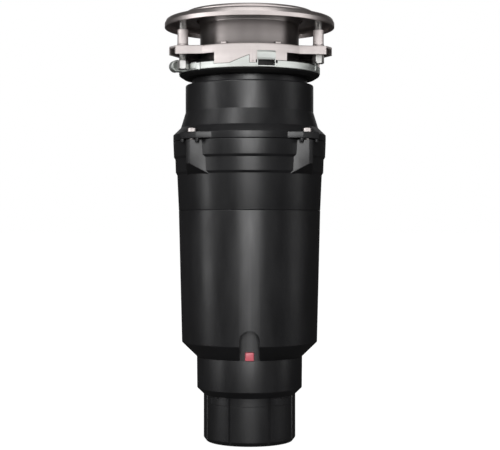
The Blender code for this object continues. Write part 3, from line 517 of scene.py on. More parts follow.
def plastic(name, colour, roughness=0.36, grain=2600.0, wear=0.25):
    """Moulded plastic with fine spark grain, faint flow tone, dust and polished edges."""
    nodes = Nodes(name)
    place = nodes.place()
    cloud = nodes.noise(place, 24.0, 4.0)
    fine = nodes.noise(place, grain, 2.0)
    flow = nodes.noise(place, 90.0, 5.0, (1.0, 1.0, 0.25))
    tone = nodes.mix(nodes.spread(cloud, 0.0, 1.0), scaled(colour, 0.8), scaled(colour, 1.25))
    speck = nodes.spread(nodes.noise(place, 700.0, 6.0), 0.0, 0.5, 0.62, 0.8)
    tone = nodes.mix(speck, tone, scaled(colour, 2.6))
    tone = nodes.mix(nodes.times(nodes.edges(0.54, 0.66), wear), tone, scaled(colour, 4.0))
    nodes.shader.inputs["Specular IOR Level"].default_value = 0.5
    rough = nodes.spread(flow, roughness - 0.05, roughness + 0.07)
    return nodes.finish(tone, 0.0, rough, [(fine, 0.16, 0.00012), (flow, 0.05, 0.0002)])


def rubber(name, colour, roughness=0.55):
    """Moulded rubber with a bloom of dust and a soft skin."""
    nodes = Nodes(name)
    place = nodes.place()
    cloud = nodes.noise(place, 40.0, 5.0)
    fine = nodes.noise(place, 1700.0, 3.0)
    tone = nodes.mix(nodes.spread(cloud, 0.0, 1.0), scaled(colour, 0.7), scaled(colour, 1.5))
    dust = nodes.spread(nodes.noise(place, 260.0, 8.0), 0.0, 0.35, 0.58, 0.8)
    tone = nodes.mix(dust, tone, scaled(colour, 5.0))
    nodes.shader.inputs["Specular IOR Level"].default_value = 0.3
    rough = nodes.spread(cloud, roughness - 0.08, roughness + 0.1)
    return nodes.finish(tone, 0.0, rough, [(fine, 0.25, 0.00015), (cloud, 0.08, 0.0006)])


def steel(name, colour, roughness, turned=True, streak=5200.0, brush=0.25, wear=0.35, with_painted_shade=False):
    """Sheet or turned metal: fine drawn lines, faint stains, scratches and bright edges."""
    nodes = Nodes(name)
    place = nodes.place(turned)
    free = nodes.place()
    lines = nodes.noise(place, streak, 4.0)
    broad = nodes.noise(place, streak / 14, 3.0)
    cloud = nodes.noise(free, 38.0, 5.0)
    tone = nodes.mix(nodes.spread(cloud, 0.0, 1.0), scaled(colour, 0.9), scaled(colour, 1.06))
    tone = nodes.mix(nodes.spread(lines, 0.0, 0.3), tone, scaled(colour, 0.8))
    tone = nodes.mix(nodes.times(nodes.edges(0.53, 0.62), wear), tone, scaled(colour, 1.3))
    # Painted shade on the steel under the flange and on the sleeve, where the flange shades it
    if with_painted_shade:
        tone = nodes.paint_shade(tone, colour)
    rough = nodes.spread(broad, roughness - 0.05, roughness + 0.08)
    return nodes.finish(tone, 1.0, rough, [(lines, brush, 0.00004), (cloud, 0.06, 0.0006)])


def grainy(name, colour, metallic, roughness, scale=900.0, bump=0.4, depth=0.0003, contrast=0.35):
    """Cast, sintered, felted or painted surface with a visible grain."""
    nodes = Nodes(name)
    place = nodes.place()
    coarse = nodes.noise(place, scale, 6.0)
    cloud = nodes.noise(place, 45.0, 4.0)
    tone = nodes.mix(
        nodes.spread(coarse, 0.0, 1.0),
        scaled(colour, 1.0 - contrast),
        scaled(colour, 1.0 + contrast),
    )
    tone = nodes.mix(nodes.spread(cloud, 0.0, 0.4), tone, scaled(colour, 0.7))
    rough = nodes.spread(cloud, roughness - 0.07, roughness + 0.07)
    return nodes.finish(tone, metallic, rough, [(coarse, bump, depth)])


def layered(name, colour, metallic, roughness, pitch):
    """Stacked laminations or wound wire: fine bands along Z over a toned colour."""
    nodes = Nodes(name)
    place = nodes.place()
    wave = nodes.add("ShaderNodeTexWave", bands_direction="Z", Scale=1.0 / (pitch * 20.0))
    wave.inputs["Distortion"].default_value = 0.4
    wave.inputs["Detail"].default_value = 2.0
    nodes.link(place, wave.inputs["Vector"])
    cloud = nodes.noise(place, 60.0, 4.0)
    tone = nodes.mix(wave.outputs["Fac"], scaled(colour, 0.6), scaled(colour, 1.15))
    tone = nodes.mix(nodes.spread(cloud, 0.0, 0.45), tone, scaled(colour, 0.55))
    rough = nodes.spread(cloud, roughness - 0.06, roughness + 0.08)
    return nodes.finish(tone, metallic, rough, [(wave.outputs["Fac"], 0.5, 0.0002)])


BLACK = (0.013, 0.013, 0.014)
LOOK = {
    "black_plastic": plastic("black_plastic_look", BLACK, 0.37),
    "base_plastic": plastic("base_plastic_look", BLACK, 0.40, grain=2200.0),
    "black_rubber": rubber("black_rubber_look", (0.012, 0.012, 0.012)),
    "grey_rubber": rubber("grey_rubber_look", (0.09, 0.09, 0.09)),
    "stainless": steel("stainless_look", (0.60, 0.555, 0.54), 0.30),
    # The flange steel carries painted shade on its sleeve and under the flange
    "flange_steel": steel("flange_steel_look", (0.66, 0.60, 0.585), 0.36, with_painted_shade=True),
    "ring_pink": steel("upper_ring_look", (0.80, 0.735, 0.72), 0.52, brush=0.2, streak=3600.0),
    "ring_green": steel("turning_ring_look", (0.76, 0.79, 0.76), 0.50, brush=0.2, streak=3600.0),
    "zinc_plate": steel("zinc_plate_look", (0.76, 0.75, 0.73), 0.42, turned=False, streak=1500.0),
    "fibre": grainy("fibre_look", (0.35, 0.28, 0.2), 0.0, 0.88, 700.0),
    "copper": layered("winding_look", (0.62, 0.27, 0.12), 1.0, 0.36, 0.0009),
    "core_steel": layered("core_steel_look", (0.32, 0.32, 0.34), 1.0, 0.48, 0.001),
    "cast_aluminium": grainy("cast_aluminium_look", (0.55, 0.55, 0.57), 1.0, 0.5, 1200.0, 0.3),
    "bronze": grainy("bronze_look", (0.5, 0.34, 0.16), 1.0, 0.42, 2000.0, 0.2),
    "foam": grainy("foam_look", (0.16, 0.16, 0.17), 0.0, 0.95, 500.0, 0.8, 0.001),
    "red_plastic": plastic("red_button_look", (0.72, 0.14, 0.18), 0.34, 3000.0, wear=0.05),
    "green_screw": grainy("green_screw_look", (0.05, 0.33, 0.11), 0.3, 0.4, 1500.0, 0.15),
}
METAL_LOOKS = ("stainless", "flange_steel", "ring_pink", "ring_green", "zinc_plate")
METAL_PIECES = []
OTHER_PIECES = []
SLOT_OF = {row["node"]: row["material_slot"] for row in frame["record"]["subparts"]}
BODY_OF = {node: body for body, nodes in frame["record"]["behaviour"]["bodies"].items() for node in nodes}


def finish_piece(made, node, look=None, smooth=35.0):
    """Shade a piece, give it its material, and let it stand for a CAD node on that node's body."""
    made.data.materials.clear()
    made.data.materials.append(LOOK[look or SLOT_OF[node]])
    made.data.shade_smooth()
    made.data.set_sharp_from_angle(angle=math.radians(smooth))
    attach(made, BODY_OF[node])
    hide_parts(node)
    pieces = METAL_PIECES if (look or SLOT_OF[node]) in METAL_LOOKS else OTHER_PIECES
    pieces.append(made)
    return made


# ---------------------------------------------------------------- base and shell

def make_base():
    """Bottom housing: tube with pads between grooves, skirt, and the tab behind the reset recess."""
    body = lathe("base_body", [
        (0.0, 0.0), (TUBE_RADIUS - 2.6, 0.0, 1.2), (TUBE_RADIUS, 3.4, 1.5), (TUBE_RADIUS, 33.6),
        (TUBE_RADIUS - 0.22, 33.9), (TUBE_RADIUS, 34.2), (TUBE_RADIUS, TUBE_TOP, 0.5),
        (SKIRT_RADIUS - 0.25, 46.3, 0.9), (SKIRT_RADIUS, SKIRT_TOP, 0.35), (44.9, SKIRT_TOP),
        (44.9, 77.4), (43.2, 77.4), (43.2, 47.3), (37.4, 41.8), (37.4, 5.0), (0.0, 5.0),
    ])
    half = math.degrees(math.asin(11.0 / SKIRT_RADIUS))
    stations = [(-half + 2 * half * i / 16, 68.0, SKIRT_TOP_TAB) for i in range(17)]
    join(body, wall_strip("tab", stations, 42.9, 44.85))
    stations = [(phi, 72.7, top) for phi, _, top in stations]
    join(body, wall_strip("tab_face", stations, 43.4, SKIRT_RADIUS - 0.05))
    cutters = []
    for quarter in range(4):
        for side in (-1, 1):
            half = [
                (1.3, -TUBE_RADIUS - 3.0),
                (1.3, -TUBE_RADIUS - 0.1),
                (0.95, -TUBE_RADIUS + 0.45),
                (0.85, -TUBE_RADIUS + 1.25),
            ]
            outline = [(-1.3, -TUBE_RADIUS - 3.0)] + half + [(-x, y) for x, y in half[:0:-1]]
            matrix = turn_z(90 * quarter + side * GROOVE_BEARING)
            cutters.append(prism("groove", outline, -1.0, TUBE_TOP + 0.6, matrix))
            middle = 90 * quarter + side * 37.0
            notch = [(middle - 6.0 + i, 39.4, 40.9) for i in range(13)]
            cutters.append(wall_strip("notch", notch, TUBE_RADIUS - 0.9, TUBE_RADIUS + 2.0))
    cut(body, *cutters)
    opening = box_outline(-BUTTON_HOLE, BUTTON_HOLE, -BUTTON_HOLE, BUTTON_HOLE, 1.0)
    cut(body, prism("hole", opening, -48.0, -40.0, along_y(0.0, BUTTON_Z)))
    cut(body, prism("cover_pocket", box_outline(-15.3, 15.3, 10.7, 33.3, 1.2), -1.0, 3.3))
    cut(body, prism("wiring_window", box_outline(-11.0, 11.0, 16.5, 30.5, 1.5), 2.0, 6.0))
    cut(body, rod_z("cover_screw_hole", 1.9, 0.0, 13.6, 2.0, 6.0))
    cut(body, rod_z("earth_pocket", 4.0, -20.0, -8.0, -1.0, 2.0))
    cut(body, rod_z("earth_hole", 2.0, -20.0, -8.0, 1.0, 6.0))
    return finish_piece(body, "bottom_housing", "base_plastic", 28.0)


def box_outline(x_low, x_high, y_low, y_high, fillet):
    """Rectangle with round corners."""
    return [
        (x_low, y_low, fillet), (x_high, y_low, fillet), (x_high, y_high, fillet),
        (x_low, y_high, fillet),
    ]


def arch_outline(half, foot):
    """Upright slot with a round top, as (x, z) points."""
    outline = [(-half, foot)]
    outline += [(-x, z) for x, z in arc(half, 0, 180, 32, (0.0, RECESS_SPRING))]
    return outline + [(half, foot)]


def make_shell():
    """Tapered outer shell with its arched recess."""
    wide = 85.8
    low_radius = 58.7
    body = lathe("shell_body", [
        (SKIRT_RADIUS, SHELL_LOW), (SKIRT_RADIUS + 0.2, SHELL_LOW, 0.2), (low_radius, wide, 1.1),
        (SHELL_RADIUS, SHELL_HIGH, 0.5), (SHELL_RADIUS - 2.2, SHELL_HIGH),
        (low_radius - 2.2, wide + 1.2), (45.2, SHELL_LOW + 2.8), (45.2, SHELL_LOW),
    ])
    tunnel = prism("tunnel", arch_outline(10.0, SHELL_LOW + 4.0), -60.0, -42.0, along_y(0, 0))
    inside = lathe("inside", [
        (0.0, SHELL_LOW + 0.3), (SKIRT_RADIUS, SHELL_LOW + 0.3), (low_radius - 0.5, wide),
        (low_radius, wide + 40.0), (0.0, wide + 40.0),
    ])
    join(body, boolean(tunnel, [inside], "INTERSECT"))
    cut(body, prism("recess", arch_outline(RECESS_HALF, SHELL_LOW - 5.0), -70.0, -40.0, along_y(0, 0)))
    half = math.degrees(math.asin(11.4 / SKIRT_RADIUS))
    stations = [(-half + 2 * half * i / 16, SHELL_LOW - 3.0, 103.0) for i in range(17)]
    cut(body, wall_strip("clearance", stations, 38.0, SKIRT_RADIUS + 0.3))
    return finish_piece(body, "outer_shell", None, 28.0)


def make_button():
    """Square push button with rounded edges and a round collar."""
    low, high = BUTTON_BOX
    half = 3.5
    outline = [(x, z - BUTTON_Z) for x, z in filleted([
        (-half, BUTTON_Z - half, 0.9), (half, BUTTON_Z - half, 0.9), (half, BUTTON_Z + half, 0.9),
        (-half, BUTTON_Z + half, 0.9),
    ])]
    body = prism("button_body", outline, low.y, -42.1, along_y(0.0, BUTTON_Z))
    soften(body, 0.5, 50.0)
    join(body, rod_y("collar", 5.6, 0.0, BUTTON_Z, -42.3, high.y))
    return finish_piece(body, "reset_button")


def make_terminal_cover():
    """Plate over the wiring window, with the rolled mains inlet."""
    low, high = [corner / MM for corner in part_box("terminal_cover")]
    body = prism("cover_plate", box_outline(low.x, high.x, low.y, high.y, 1.2), low.z, high.z)
    cut(body, rod_z("inlet", 6.5, 0.0, 23.6, 0.0, 5.0, 64))
    cut(body, rod_z("hole", 1.9, 0.0, 13.6, 0.0, 5.0))
    soften(body, 0.3, 40.0, 2)
    return finish_piece(body, "terminal_cover")


# ---------------------------------------------------------------- drain housing and outlet

def lug(name, square, chamfer, root, low, high, slope_base=None, edge=0.5):
    """Corner of a square with a flat across it; its underside may slope down to the wall."""
    inner = 43.0
    outline = [(square, root), (square, chamfer), (chamfer, square), (root, square), (inner, inner)]
    sections = []
    for z in (low, high):
        section = []
        for x, y in outline:
            level = z
            if slope_base is not None and z == low:
                level = low + max(0.0, (x + y) / math.sqrt(2) - slope_base)
            section.append((x, y, level))
        sections.append(section)
    return soften(loft(name, sections), edge, 20.0)


def four_corners(make):
    """Run a maker for each corner and turn its result into place."""
    made = []
    for quarter in range(4):
        corner = make()
        corner.data.transform(turn_z(90 * quarter))
        made.append(corner)
    return made


def make_drain():
    """Banded lower housing with corner bosses, drain chamber, outlet boss and a spigot below."""
    body = lathe("drain_body", [
        (SHELL_RADIUS, DRAIN_LOW, 0.4), (62.8, 229.9, 0.25), (64.1, 232.0, 0.5), (64.45, 243.3, 0.3),
        (65.7, 245.5, 0.5), (66.25, DRAIN_HIGH, 0.4), (60.6, DRAIN_HIGH), (60.6, DRAIN_HIGH - 1.7),
        (58.0, DRAIN_HIGH - 1.7), (58.0, 245.7), (55.0, 245.7), (55.0, 209.0, 3.0), (52.0, 206.0, 2.0),
        (20.6, 206.0), (17.2, 216.8), (10.4, 216.8), (10.4, 206.0), (8.0, 206.0), (8.0, DRAIN_LOW),
        (SPIGOT_INNER, DRAIN_LOW), (SPIGOT_INNER, SPIGOT_LOW), (SPIGOT_OUTER, SPIGOT_LOW),
        (SPIGOT_OUTER + 0.1, DRAIN_LOW),
    ])
    join(body, *four_corners(
        lambda: lug("boss", 52.9, 50.0, 32.0, 228.0, DRAIN_HIGH - 0.4, 63.0)
    ))
    outlet = prism("outlet_boss", stadium(33.0, 20.5), 46.0, OUTLET_FACE, along_y(0, OUTLET_Z))
    soften(outlet, 0.8, 50.0)
    cut(outlet, rod_z("inside", 59.0, 0.0, 0.0, 190.0, 260.0, MEDIUM, 1.0))
    join(body, outlet)
    cut(body, rod_y("outlet", 15.5, 0.0, OUTLET_Z, 44.0, OUTLET_FACE + 2.0))
    for side in (-1, 1):
        x = side * OUTLET_SCREW_X
        cut(body, rod_y("hole", 2.6, x, OUTLET_Z, 58.5, OUTLET_FACE + 2.0, SMALL))
    for phi in CORNERS:
        x, y = polar(LUG_RADIUS, phi)
        cut(body, rod_z("screw_hole", 2.1, x, y, 243.0, DRAIN_HIGH + 1.0))
    return finish_piece(body, "drain_housing", None, 26.0)


def sweep(name, stations, steps=64):
    """Round pipe in the YZ plane from (centre y, z, direction angle, inner, outer) stations."""
    def section(y, z, angle, radius):
        normal = Vector((0.0, math.sin(angle), math.cos(angle)))
        points = circle(radius, steps)
        return [Vector((across, y, z)) + normal * along for across, along in points]

    outer = [section(y, z, angle, radius) for y, z, angle, _, radius in stations]
    inner = [section(y, z, angle, radius) for y, z, angle, radius, _ in stations]
    return loft(name, outer + inner[::-1], closed=True)


def make_elbow():
    """Flanged elbow with a groove above its rounded mouth."""
    bore = 15.3
    radius = 18.5
    bend = 26.0
    y_flange = OUTLET_FACE + 2.8
    y_bend = y_flange + 9.5
    y_down = y_bend + bend
    stations = [
        (y_flange, OUTLET_Z, 0.0, bore, 21.2), (y_flange + 0.3, OUTLET_Z, 0.0, bore, 21.5),
        (y_flange + 3.2, OUTLET_Z, 0.0, bore, 21.5), (y_flange + 3.5, OUTLET_Z, 0.0, bore, 21.2),
        (y_flange + 3.6, OUTLET_Z, 0.0, bore, 19.2), (y_flange + 4.4, OUTLET_Z, 0.0, bore, radius),
    ]
    bends = 28
    for k in range(bends + 1):
        angle = math.radians(90 * k / bends)
        y = y_bend + bend * math.sin(angle)
        z = OUTLET_Z - bend * (1 - math.cos(angle))
        stations.append((y, z, angle, bore, radius))
    down = math.pi / 2
    end = ELBOW_LOW
    for z, outer in ((191.0, radius), (190.5, 17.9), (187.1, 17.9), (186.6, radius)):
        stations.append((y_down, z, down, bore, outer))
    stations += [
        (y_down, end + 1.2, down, bore, radius), (y_down, end + 0.4, down, bore + 0.2, radius - 0.25),
        (y_down, end, down, bore + 0.6, radius - 0.9),
    ]
    return finish_piece(sweep("elbow_body", stations), "discharge_elbow")


def make_discharge_flange():
    """Pressed clamping plate with a raised rim round the elbow."""
    low, high = span("discharge_flange", 1)
    body = prism("clamp_plate", stadium(33.0, 23.5), low, high, along_y(0.0, OUTLET_Z))
    cut(body, rod_y("hole", 19.0, 0.0, OUTLET_Z, low - 1, high + 1))
    for side in (-1, 1):
        cut(body, rod_y("hole", 2.6, side * OUTLET_SCREW_X, OUTLET_Z, low - 1, high + 1, SMALL))
    soften(body, 0.5, 40.0)
    return finish_piece(body, "discharge_flange")


def make_discharge_gasket():
    """Flat rubber ring with rounded edges."""
    low, high = span("discharge_gasket", 1)
    body = rod_y("outlet_gasket", 21.5, 0.0, OUTLET_Z, low, high)
    cut(body, rod_y("hole", 15.5, 0.0, OUTLET_Z, low - 1, high + 1))
    soften(body, 0.4, 40.0)
    return finish_piece(body, "discharge_gasket")


def make_discharge_screw(index, side):
    """Hexagon flange screw in the clamping plate."""
    node = f"discharge_screw_{index}"
    low, high = span(node, 1)
    x = side * OUTLET_SCREW_X
    seat = high - 3.2
    head = prism(f"outlet_screw_{index}", circle(4.6, 6), seat, high, along_y(x, OUTLET_Z))
    soften(head, 0.35, 40.0, 2)
    join(head, rod_y("shank", 2.2, x, OUTLET_Z, low, seat + 0.5, SMALL))
    return finish_piece(head, node)


# ---------------------------------------------------------------- hopper and cushion

def make_hopper():
    """Upper chamber housing: flared rim with four ears, shoulder, neck, pegs and inlet."""
    body = lathe("hopper_body", [
        (66.25, HOPPER_LOW, 0.4), (66.25, HOPPER_RIM + 0.2, 0.5), (59.7, 270.6, 0.9),
        (HOPPER_WALL, 284.1, 0.9), (HOPPER_WALL, SHOULDER, 1.6), (NECK_RADIUS, SHOULDER, 0.5),
        (NECK_RADIUS, HOPPER_HIGH, 0.4), (THROAT_RADIUS, HOPPER_HIGH, 0.8), (THROAT_RADIUS, 305.3, 0.8),
        (49.0, 305.3, 1.0), (53.0, 301.5, 2.0), (53.0, 283.5), (57.8, 270.8), (58.2, HOPPER_LOW),
    ])
    join(body, *four_corners(lambda: lug("ear", 58.2, 44.8, 28.0, HOPPER_LOW + 0.05, HOPPER_RIM)))
    pegs = []
    for x, y in PEG_PLACES:
        for x_side in (-1, 1):
            for y_side in (-1, 1):
                peg = rod_z("peg", PEG_RADIUS, x_side * x, y_side * y, 255.6, 260.0, 24)
                pegs.append(soften(peg, 0.4, 50.0, 2))
    join(body, *pegs)
    inlet = rod_y("inlet_pipe", 11.0, 0.0, INLET_Z, 54.0, INLET_END)
    soften(inlet, 0.5, 50.0, 2)
    rings = []
    for y in (66.0, 71.0, 76.0):
        rings.append(rod_y("barb", 11.35, 0.0, INLET_Z, y, y + 1.4))
    join(inlet, *rings)
    join(body, inlet)
    cut(body, rod_y("inlet_bore", 8.8, 0.0, INLET_Z, 55.6, INLET_END + 2.0))
    for phi in CORNERS:
        x, y = polar(LUG_RADIUS, phi)
        cut(body, rod_z("screw_pocket", 4.9, x, y, HOPPER_RIM - 0.02, 275.0))
        cut(body, rod_z("screw_hole", 2.1, x, y, HOPPER_LOW - 1.0, 268.0))
    return finish_piece(body, "hopper", None, 26.0)


def cross_recess(radius, x, y, z, depth):
    """Phillips recess: two tapered bars with their axis along Z."""
    bars = []
    for turn in (20.0, 110.0):
        sections = []
        for level, length, width in ((z - depth, 0.45, 0.5), (z + 0.3, 1.0, 0.75)):
            a = radius * length
            b = radius * 0.24 * width
            sections.append([(p, q, level) for p, q in ((-a, -b), (a, -b), (a, b), (-a, b))])
        place = Matrix.Translation((x, y, 0.0)) @ turn_z(turn)
        bars.append(loft("recess", sections, matrix=place))
    return bars


def make_hopper_screw(index, phi):
    """Cylinder head screw with a cross recess, joining the hopper to the drain housing."""
    node = f"hopper_screw_{index}"
    x, y = polar(LUG_RADIUS, phi)
    low, high = span(node, 2)
    body = lathe(f"joint_screw_{index}", [
        (0.0, high), (3.9, high, 0.45), (3.9, high - 3.2), (1.7, high - 3.2), (1.7, low), (0.0, low),
    ], 48, (x, y))
    cut(body, *cross_recess(2.3, x, y, high, 1.6))
    return finish_piece(body, node)


def make_cushion():
    """Rubber cushion with a rolled lip and a moulded bead."""
    neck = NECK_RADIUS + 0.3
    body = lathe("cushion_body", [
        (neck, CUSHION_LOW, 0.4), (56.5, CUSHION_LOW + 0.6, 2.5), (60.3, CUSHION_LOW + 3.0, 1.6),
        (LIP_RADIUS, 316.4, 0.3), (59.2, 316.75, 0.2), (59.2, 323.8, 1.0), (58.0, CUSHION_HIGH, 0.6),
        (42.6, CUSHION_HIGH, 0.5), (42.6, 319.0), (neck, 319.0),
    ])
    return finish_piece(body, "mounting_gasket")


def make_splash_guard():
    """Rubber baffle: ribbed collar with a slit, dished membrane and a round bead at each edge."""
    low, high = span("splash_guard", 2)
    body = lathe("guard_body", [
        (39.4, low, 0.4), (41.2, low, 0.4), (41.2, high, 0.5), (39.4, high, 0.5), (39.4, 337.2, 1.5),
        (32.0, 335.3, 1.2), (30.6, 334.4, 0.8), (14.0, 329.7, 0.8), (12.4, 330.2, 0.6),
        (11.0, 329.4, 0.6), (11.0, 326.2, 0.6), (39.4, 334.4),
    ])
    for k in range(6):
        outline = [(5.0, -0.6), (33.0, -0.45), (33.6, 0.0), (33.0, 0.45), (5.0, 0.6)]
        cut(body, prism("slit", outline, 320.0, 344.0, turn_z(60 * k + 1.9)))
    return finish_piece(body, "splash_guard")


# ---------------------------------------------------------------- sink mount

def make_sink_flange():
    """Drain flange with a rolled rim, a dished throat and its sleeve."""
    bore = 41.7
    body = lathe("flange_body", [
        (bore, SLEEVE_LOW, 0.3), (SLEEVE_RADIUS, SLEEVE_LOW, 0.3), (SLEEVE_RADIUS, 332.8),
        (SLEEVE_RADIUS - 0.6, 332.8), (SLEEVE_RADIUS - 0.6, 335.1), (SLEEVE_RADIUS, 335.1),
        (SLEEVE_RADIUS, 359.6, 3.0), (44.8, 364.8, 2.0), (47.6, 366.9, 1.0), (56.2, 366.9, 0.5),
        (FLANGE_RADIUS, 367.4, 0.5), (FLANGE_RADIUS, 369.2, 0.8), (55.0, FLANGE_TOP, 1.0),
        (51.2, FLANGE_TOP, 1.5), (46.0, 368.4, 3.0), (bore, 359.2, 5.0),
    ])
    return finish_piece(body, "sink_flange", "flange_steel")


def make_backup_flange():
    """Pressed backing ring with a rolled outer edge."""
    edge = BACKUP_RADIUS
    body = lathe("backing_ring", [
        (46.2, 365.3, 0.4), (57.2, 365.3, 0.6), (58.4, BACKUP_HIGH, 0.6), (66.0, BACKUP_HIGH, 3.0),
        (72.2, 364.6, 2.4), (edge, 361.2, 1.6), (edge, BACKUP_LOW, 0.5), (edge - 1.6, BACKUP_LOW, 0.5),
        (edge - 1.6, 361.0, 1.2), (70.4, 363.2, 1.5), (65.6, 364.8, 2.0), (59.2, 364.8, 0.6),
        (57.8, 363.7, 0.6), (46.2, 363.7, 0.4),
    ])
    return finish_piece(body, "backup_flange", "flange_steel")


def make_fibre_gasket():
    """Pressed fibre washer between the two flanges."""
    low, high = span("fibre_gasket", 2)
    body = lathe("fibre_washer", [(48.0, low, 0.2), (56.6, low, 0.3), (56.6, high, 0.3), (48.0, high, 0.2)])
    return finish_piece(body, "fibre_gasket")


def ear_outline(inset, overrun, corner_fillet):
    """Outline of the three-eared ring, moved in by an inset; overrun opens the ear ends."""
    points = []
    radius = RING_RADIUS - inset
    half_width = EAR_HALF_WIDTH - inset * 1.2 - overrun * EAR_TAPER
    count = 42
    for k in range(3):
        middle = EAR_BEARING - 60 + 120 * k
        for i in range(count + 1):
            phi = middle - EAR_ROOT + 2 * EAR_ROOT * i / count
            end = i in (0, count)
            points.append((*polar(radius, phi), EAR_ROOT_FILLET) if end else polar(radius, phi))
        ear = EAR_BEARING + 120 * k
        out = Vector(polar(1.0, ear))
        across = Vector(polar(1.0, ear + 90))
        for side in (-1, 1):
            corner = out * (EAR_LENGTH + overrun) + across * (side * half_width)
            points.append((corner.x, corner.y, corner_fillet))
    return points


def three_times(edge):
    """The same line of (phi, z) points repeated for the three periods of the bayonet."""
    return spread([(phi + 120 * k, z) for k in range(3) for phi, z in edge])


def below_apron():
    """Everything below the upper ring's lower edge."""
    edge = [
        (APRON_LEFT, APRON_LOW), (RAMP_FOOT, APRON_LOW), (-SLIVER, APRON_LOW + RAMP_RISE),
        (SLIVER, APRON_LOW), (TONGUE_RIGHT, APRON_LOW), (TONGUE_RIGHT + SLIVER, HOOK_LOW),
        (APRON_RIGHT, HOOK_LOW), (APRON_RIGHT + SLIVER, RING_SKIRT),
        (APRON_LEFT + 120 - SLIVER, RING_SKIRT),
    ]
    stations = [(phi, 305.0, z) for phi, z in three_times(edge)]
    return wall_strip("below_apron", stations, 40.0, 90.0, closed=True)


def make_upper_ring():
    """Pressed mounting ring: channel ears, ramped aprons, stop tabs and flared screw collars."""
    sections = []
    for inset, drop in ((0.0, 25.0), (0.0, 1.1), (0.12, 0.62), (0.35, 0.3), (0.68, 0.09), (1.1, 0.0)):
        outline = filleted(ear_outline(inset, 0.0, 0.6))
        sections.append([(x, y, RING_TOP - drop) for x, y in outline])
    body = loft("upper_ring_body", sections)
    hollow = prism("hollow", ear_outline(RING_THICK, 4.0, 0.3), 300.0, RING_TOP - RING_THICK)
    cut(body, hollow)
    cut(body, below_apron())
    cut(body, rod_z("sleeve_hole", SLEEVE_RADIUS + 0.6, 0, 0, 320.0, 345.0, ROUND, 0.7))
    for k in range(3):
        middle = EAR_BEARING - 60 + 120 * k
        for side in (-1, 1):
            centre = middle + side * 31.0
            stations = [(centre - 3.3 + 6.6 * i / 8, 336.2, 341.3) for i in range(9)]
            join(body, soften(wall_strip("tab", stations, 43.9, 45.1), 0.5, 40.0))
        place = turn_z(120 * k + 2.45) @ Matrix.Translation((0.0, -66.0, 321.9))
        place = place @ Matrix.Rotation(math.radians(-90), 4, "X")
        cut(body, prism("dimple", circle(0.75, 16, start=7.0), 0.0, 5.5, place))
        x, y = polar(SCREW_CIRCLE, EAR_BEARING + 120 * k)
        collar = lathe("collar", [
            (0.0, RING_TOP - 0.7), (COLLAR_RADIUS + 1.0, RING_TOP - 0.7),
            (COLLAR_RADIUS + 1.0, RING_TOP + 0.5, 0.3), (COLLAR_RADIUS + 0.05, RING_TOP + 2.4, 1.2),
            (COLLAR_RADIUS, COLLAR_TOP, 0.5), (0.0, COLLAR_TOP),
        ], 48, (x, y))
        join(body, collar)
        cut(body, rod_z("screw_hole", SCREW_RADIUS + 0.3, x, y, 320.0, 355.0, SMALL, 7))
    return finish_piece(body, "upper_mounting_ring", "ring_pink", 30.0)


def threaded_rod(name, radius, x, y, low, high, pitch=1.25, depth=0.42):
    """Screw rod with a helical thread and a chamfered tip."""
    bm = bmesh.new()
    steps = 28
    layers = math.ceil((high - low) / (pitch / 6))
    rings = [[bm.verts.new((x, y, low))]]
    for layer in range(layers + 1):
        z = low + (high - low) * layer / layers
        tip = max(0.0, 1.0 - (high - z) / 1.2)
        ring = []
        for i in range(steps):
            share = i / steps
            phase = (z / pitch - share) % 1.0
            crest = 1.0 - abs(2.0 * phase - 1.0)
            reach = radius - depth * (1.0 - crest) - 0.9 * tip
            angle = 2 * math.pi * share
            ring.append(bm.verts.new((x + reach * math.cos(angle), y + reach * math.sin(angle), z)))
        rings.append(ring)
    rings.append([bm.verts.new((x, y, high))])
    skin(bm, rings, closed=False)
    return to_object(name, bm)


def make_mounting_screw(index):
    """Threaded screw with a chamfered hexagon head and a driver slot."""
    node = f"mounting_screw_{index + 1}"
    phi = EAR_BEARING + 120 * index
    x, y = polar(SCREW_CIRCLE, phi)
    low = low_of(node, 2)
    seat = low + SCREW_HEAD_HEIGHT
    head = prism(f"mount_screw_{index + 1}", circle(SCREW_HEAD_RADIUS, 6, (x, y), phi - 90 + 30), low, seat)
    chamfer = lathe("chamfer", [
        (0.0, low), (3.9, low, 0.2), (5.0, low + 0.7), (5.0, seat - 0.7), (3.9, seat, 0.2), (0.0, seat),
    ], MEDIUM, (x, y))
    boolean(head, [chamfer], "INTERSECT")
    slot = box_outline(-5.5, 5.5, -0.6, 0.6, 0.1)
    place = Matrix.Translation((x, y, 0.0)) @ turn_z(phi + 25 * index)
    cut(head, prism("slot", slot, low - 1.0, low + 1.6, place))
    rod = threaded_rod("rod", SCREW_RADIUS, x, y, seat - 0.5, SCREW_TIP)
    join(head, rod)
    return finish_piece(head, node, "zinc_plate", 25.0)


def above_band():
    """Everything above the turning ring's upper edge."""
    low = APRON_LOW - EDGE_GAP
    top = APRON_LOW + RAMP_RISE - EDGE_GAP
    edge = [
        (APRON_LEFT - 0.4, low), (RAMP_FOOT + 0.2, low), (-EDGE_GAP - SLIVER, top - 0.1),
        (-EDGE_GAP + SLIVER, low), (HOOK_LEFT + 0.5, low), (HOOK_LEFT + 0.5 + SLIVER, WINDOW_LOW),
        (HOOK_RIGHT - 0.5, WINDOW_LOW), (HOOK_RIGHT - 0.5 + SLIVER, NOTCH_LOW),
        (NOTCH_RIGHT, NOTCH_LOW), (NOTCH_RIGHT + SLIVER, BAND_TOP),
        (APRON_LEFT - 0.4 + 120 - SLIVER, BAND_TOP),
    ]
    stations = [(phi, z, 340.0) for phi, z in three_times(edge)]
    return wall_strip("above_band", stations, 50.0, 72.0, closed=True)


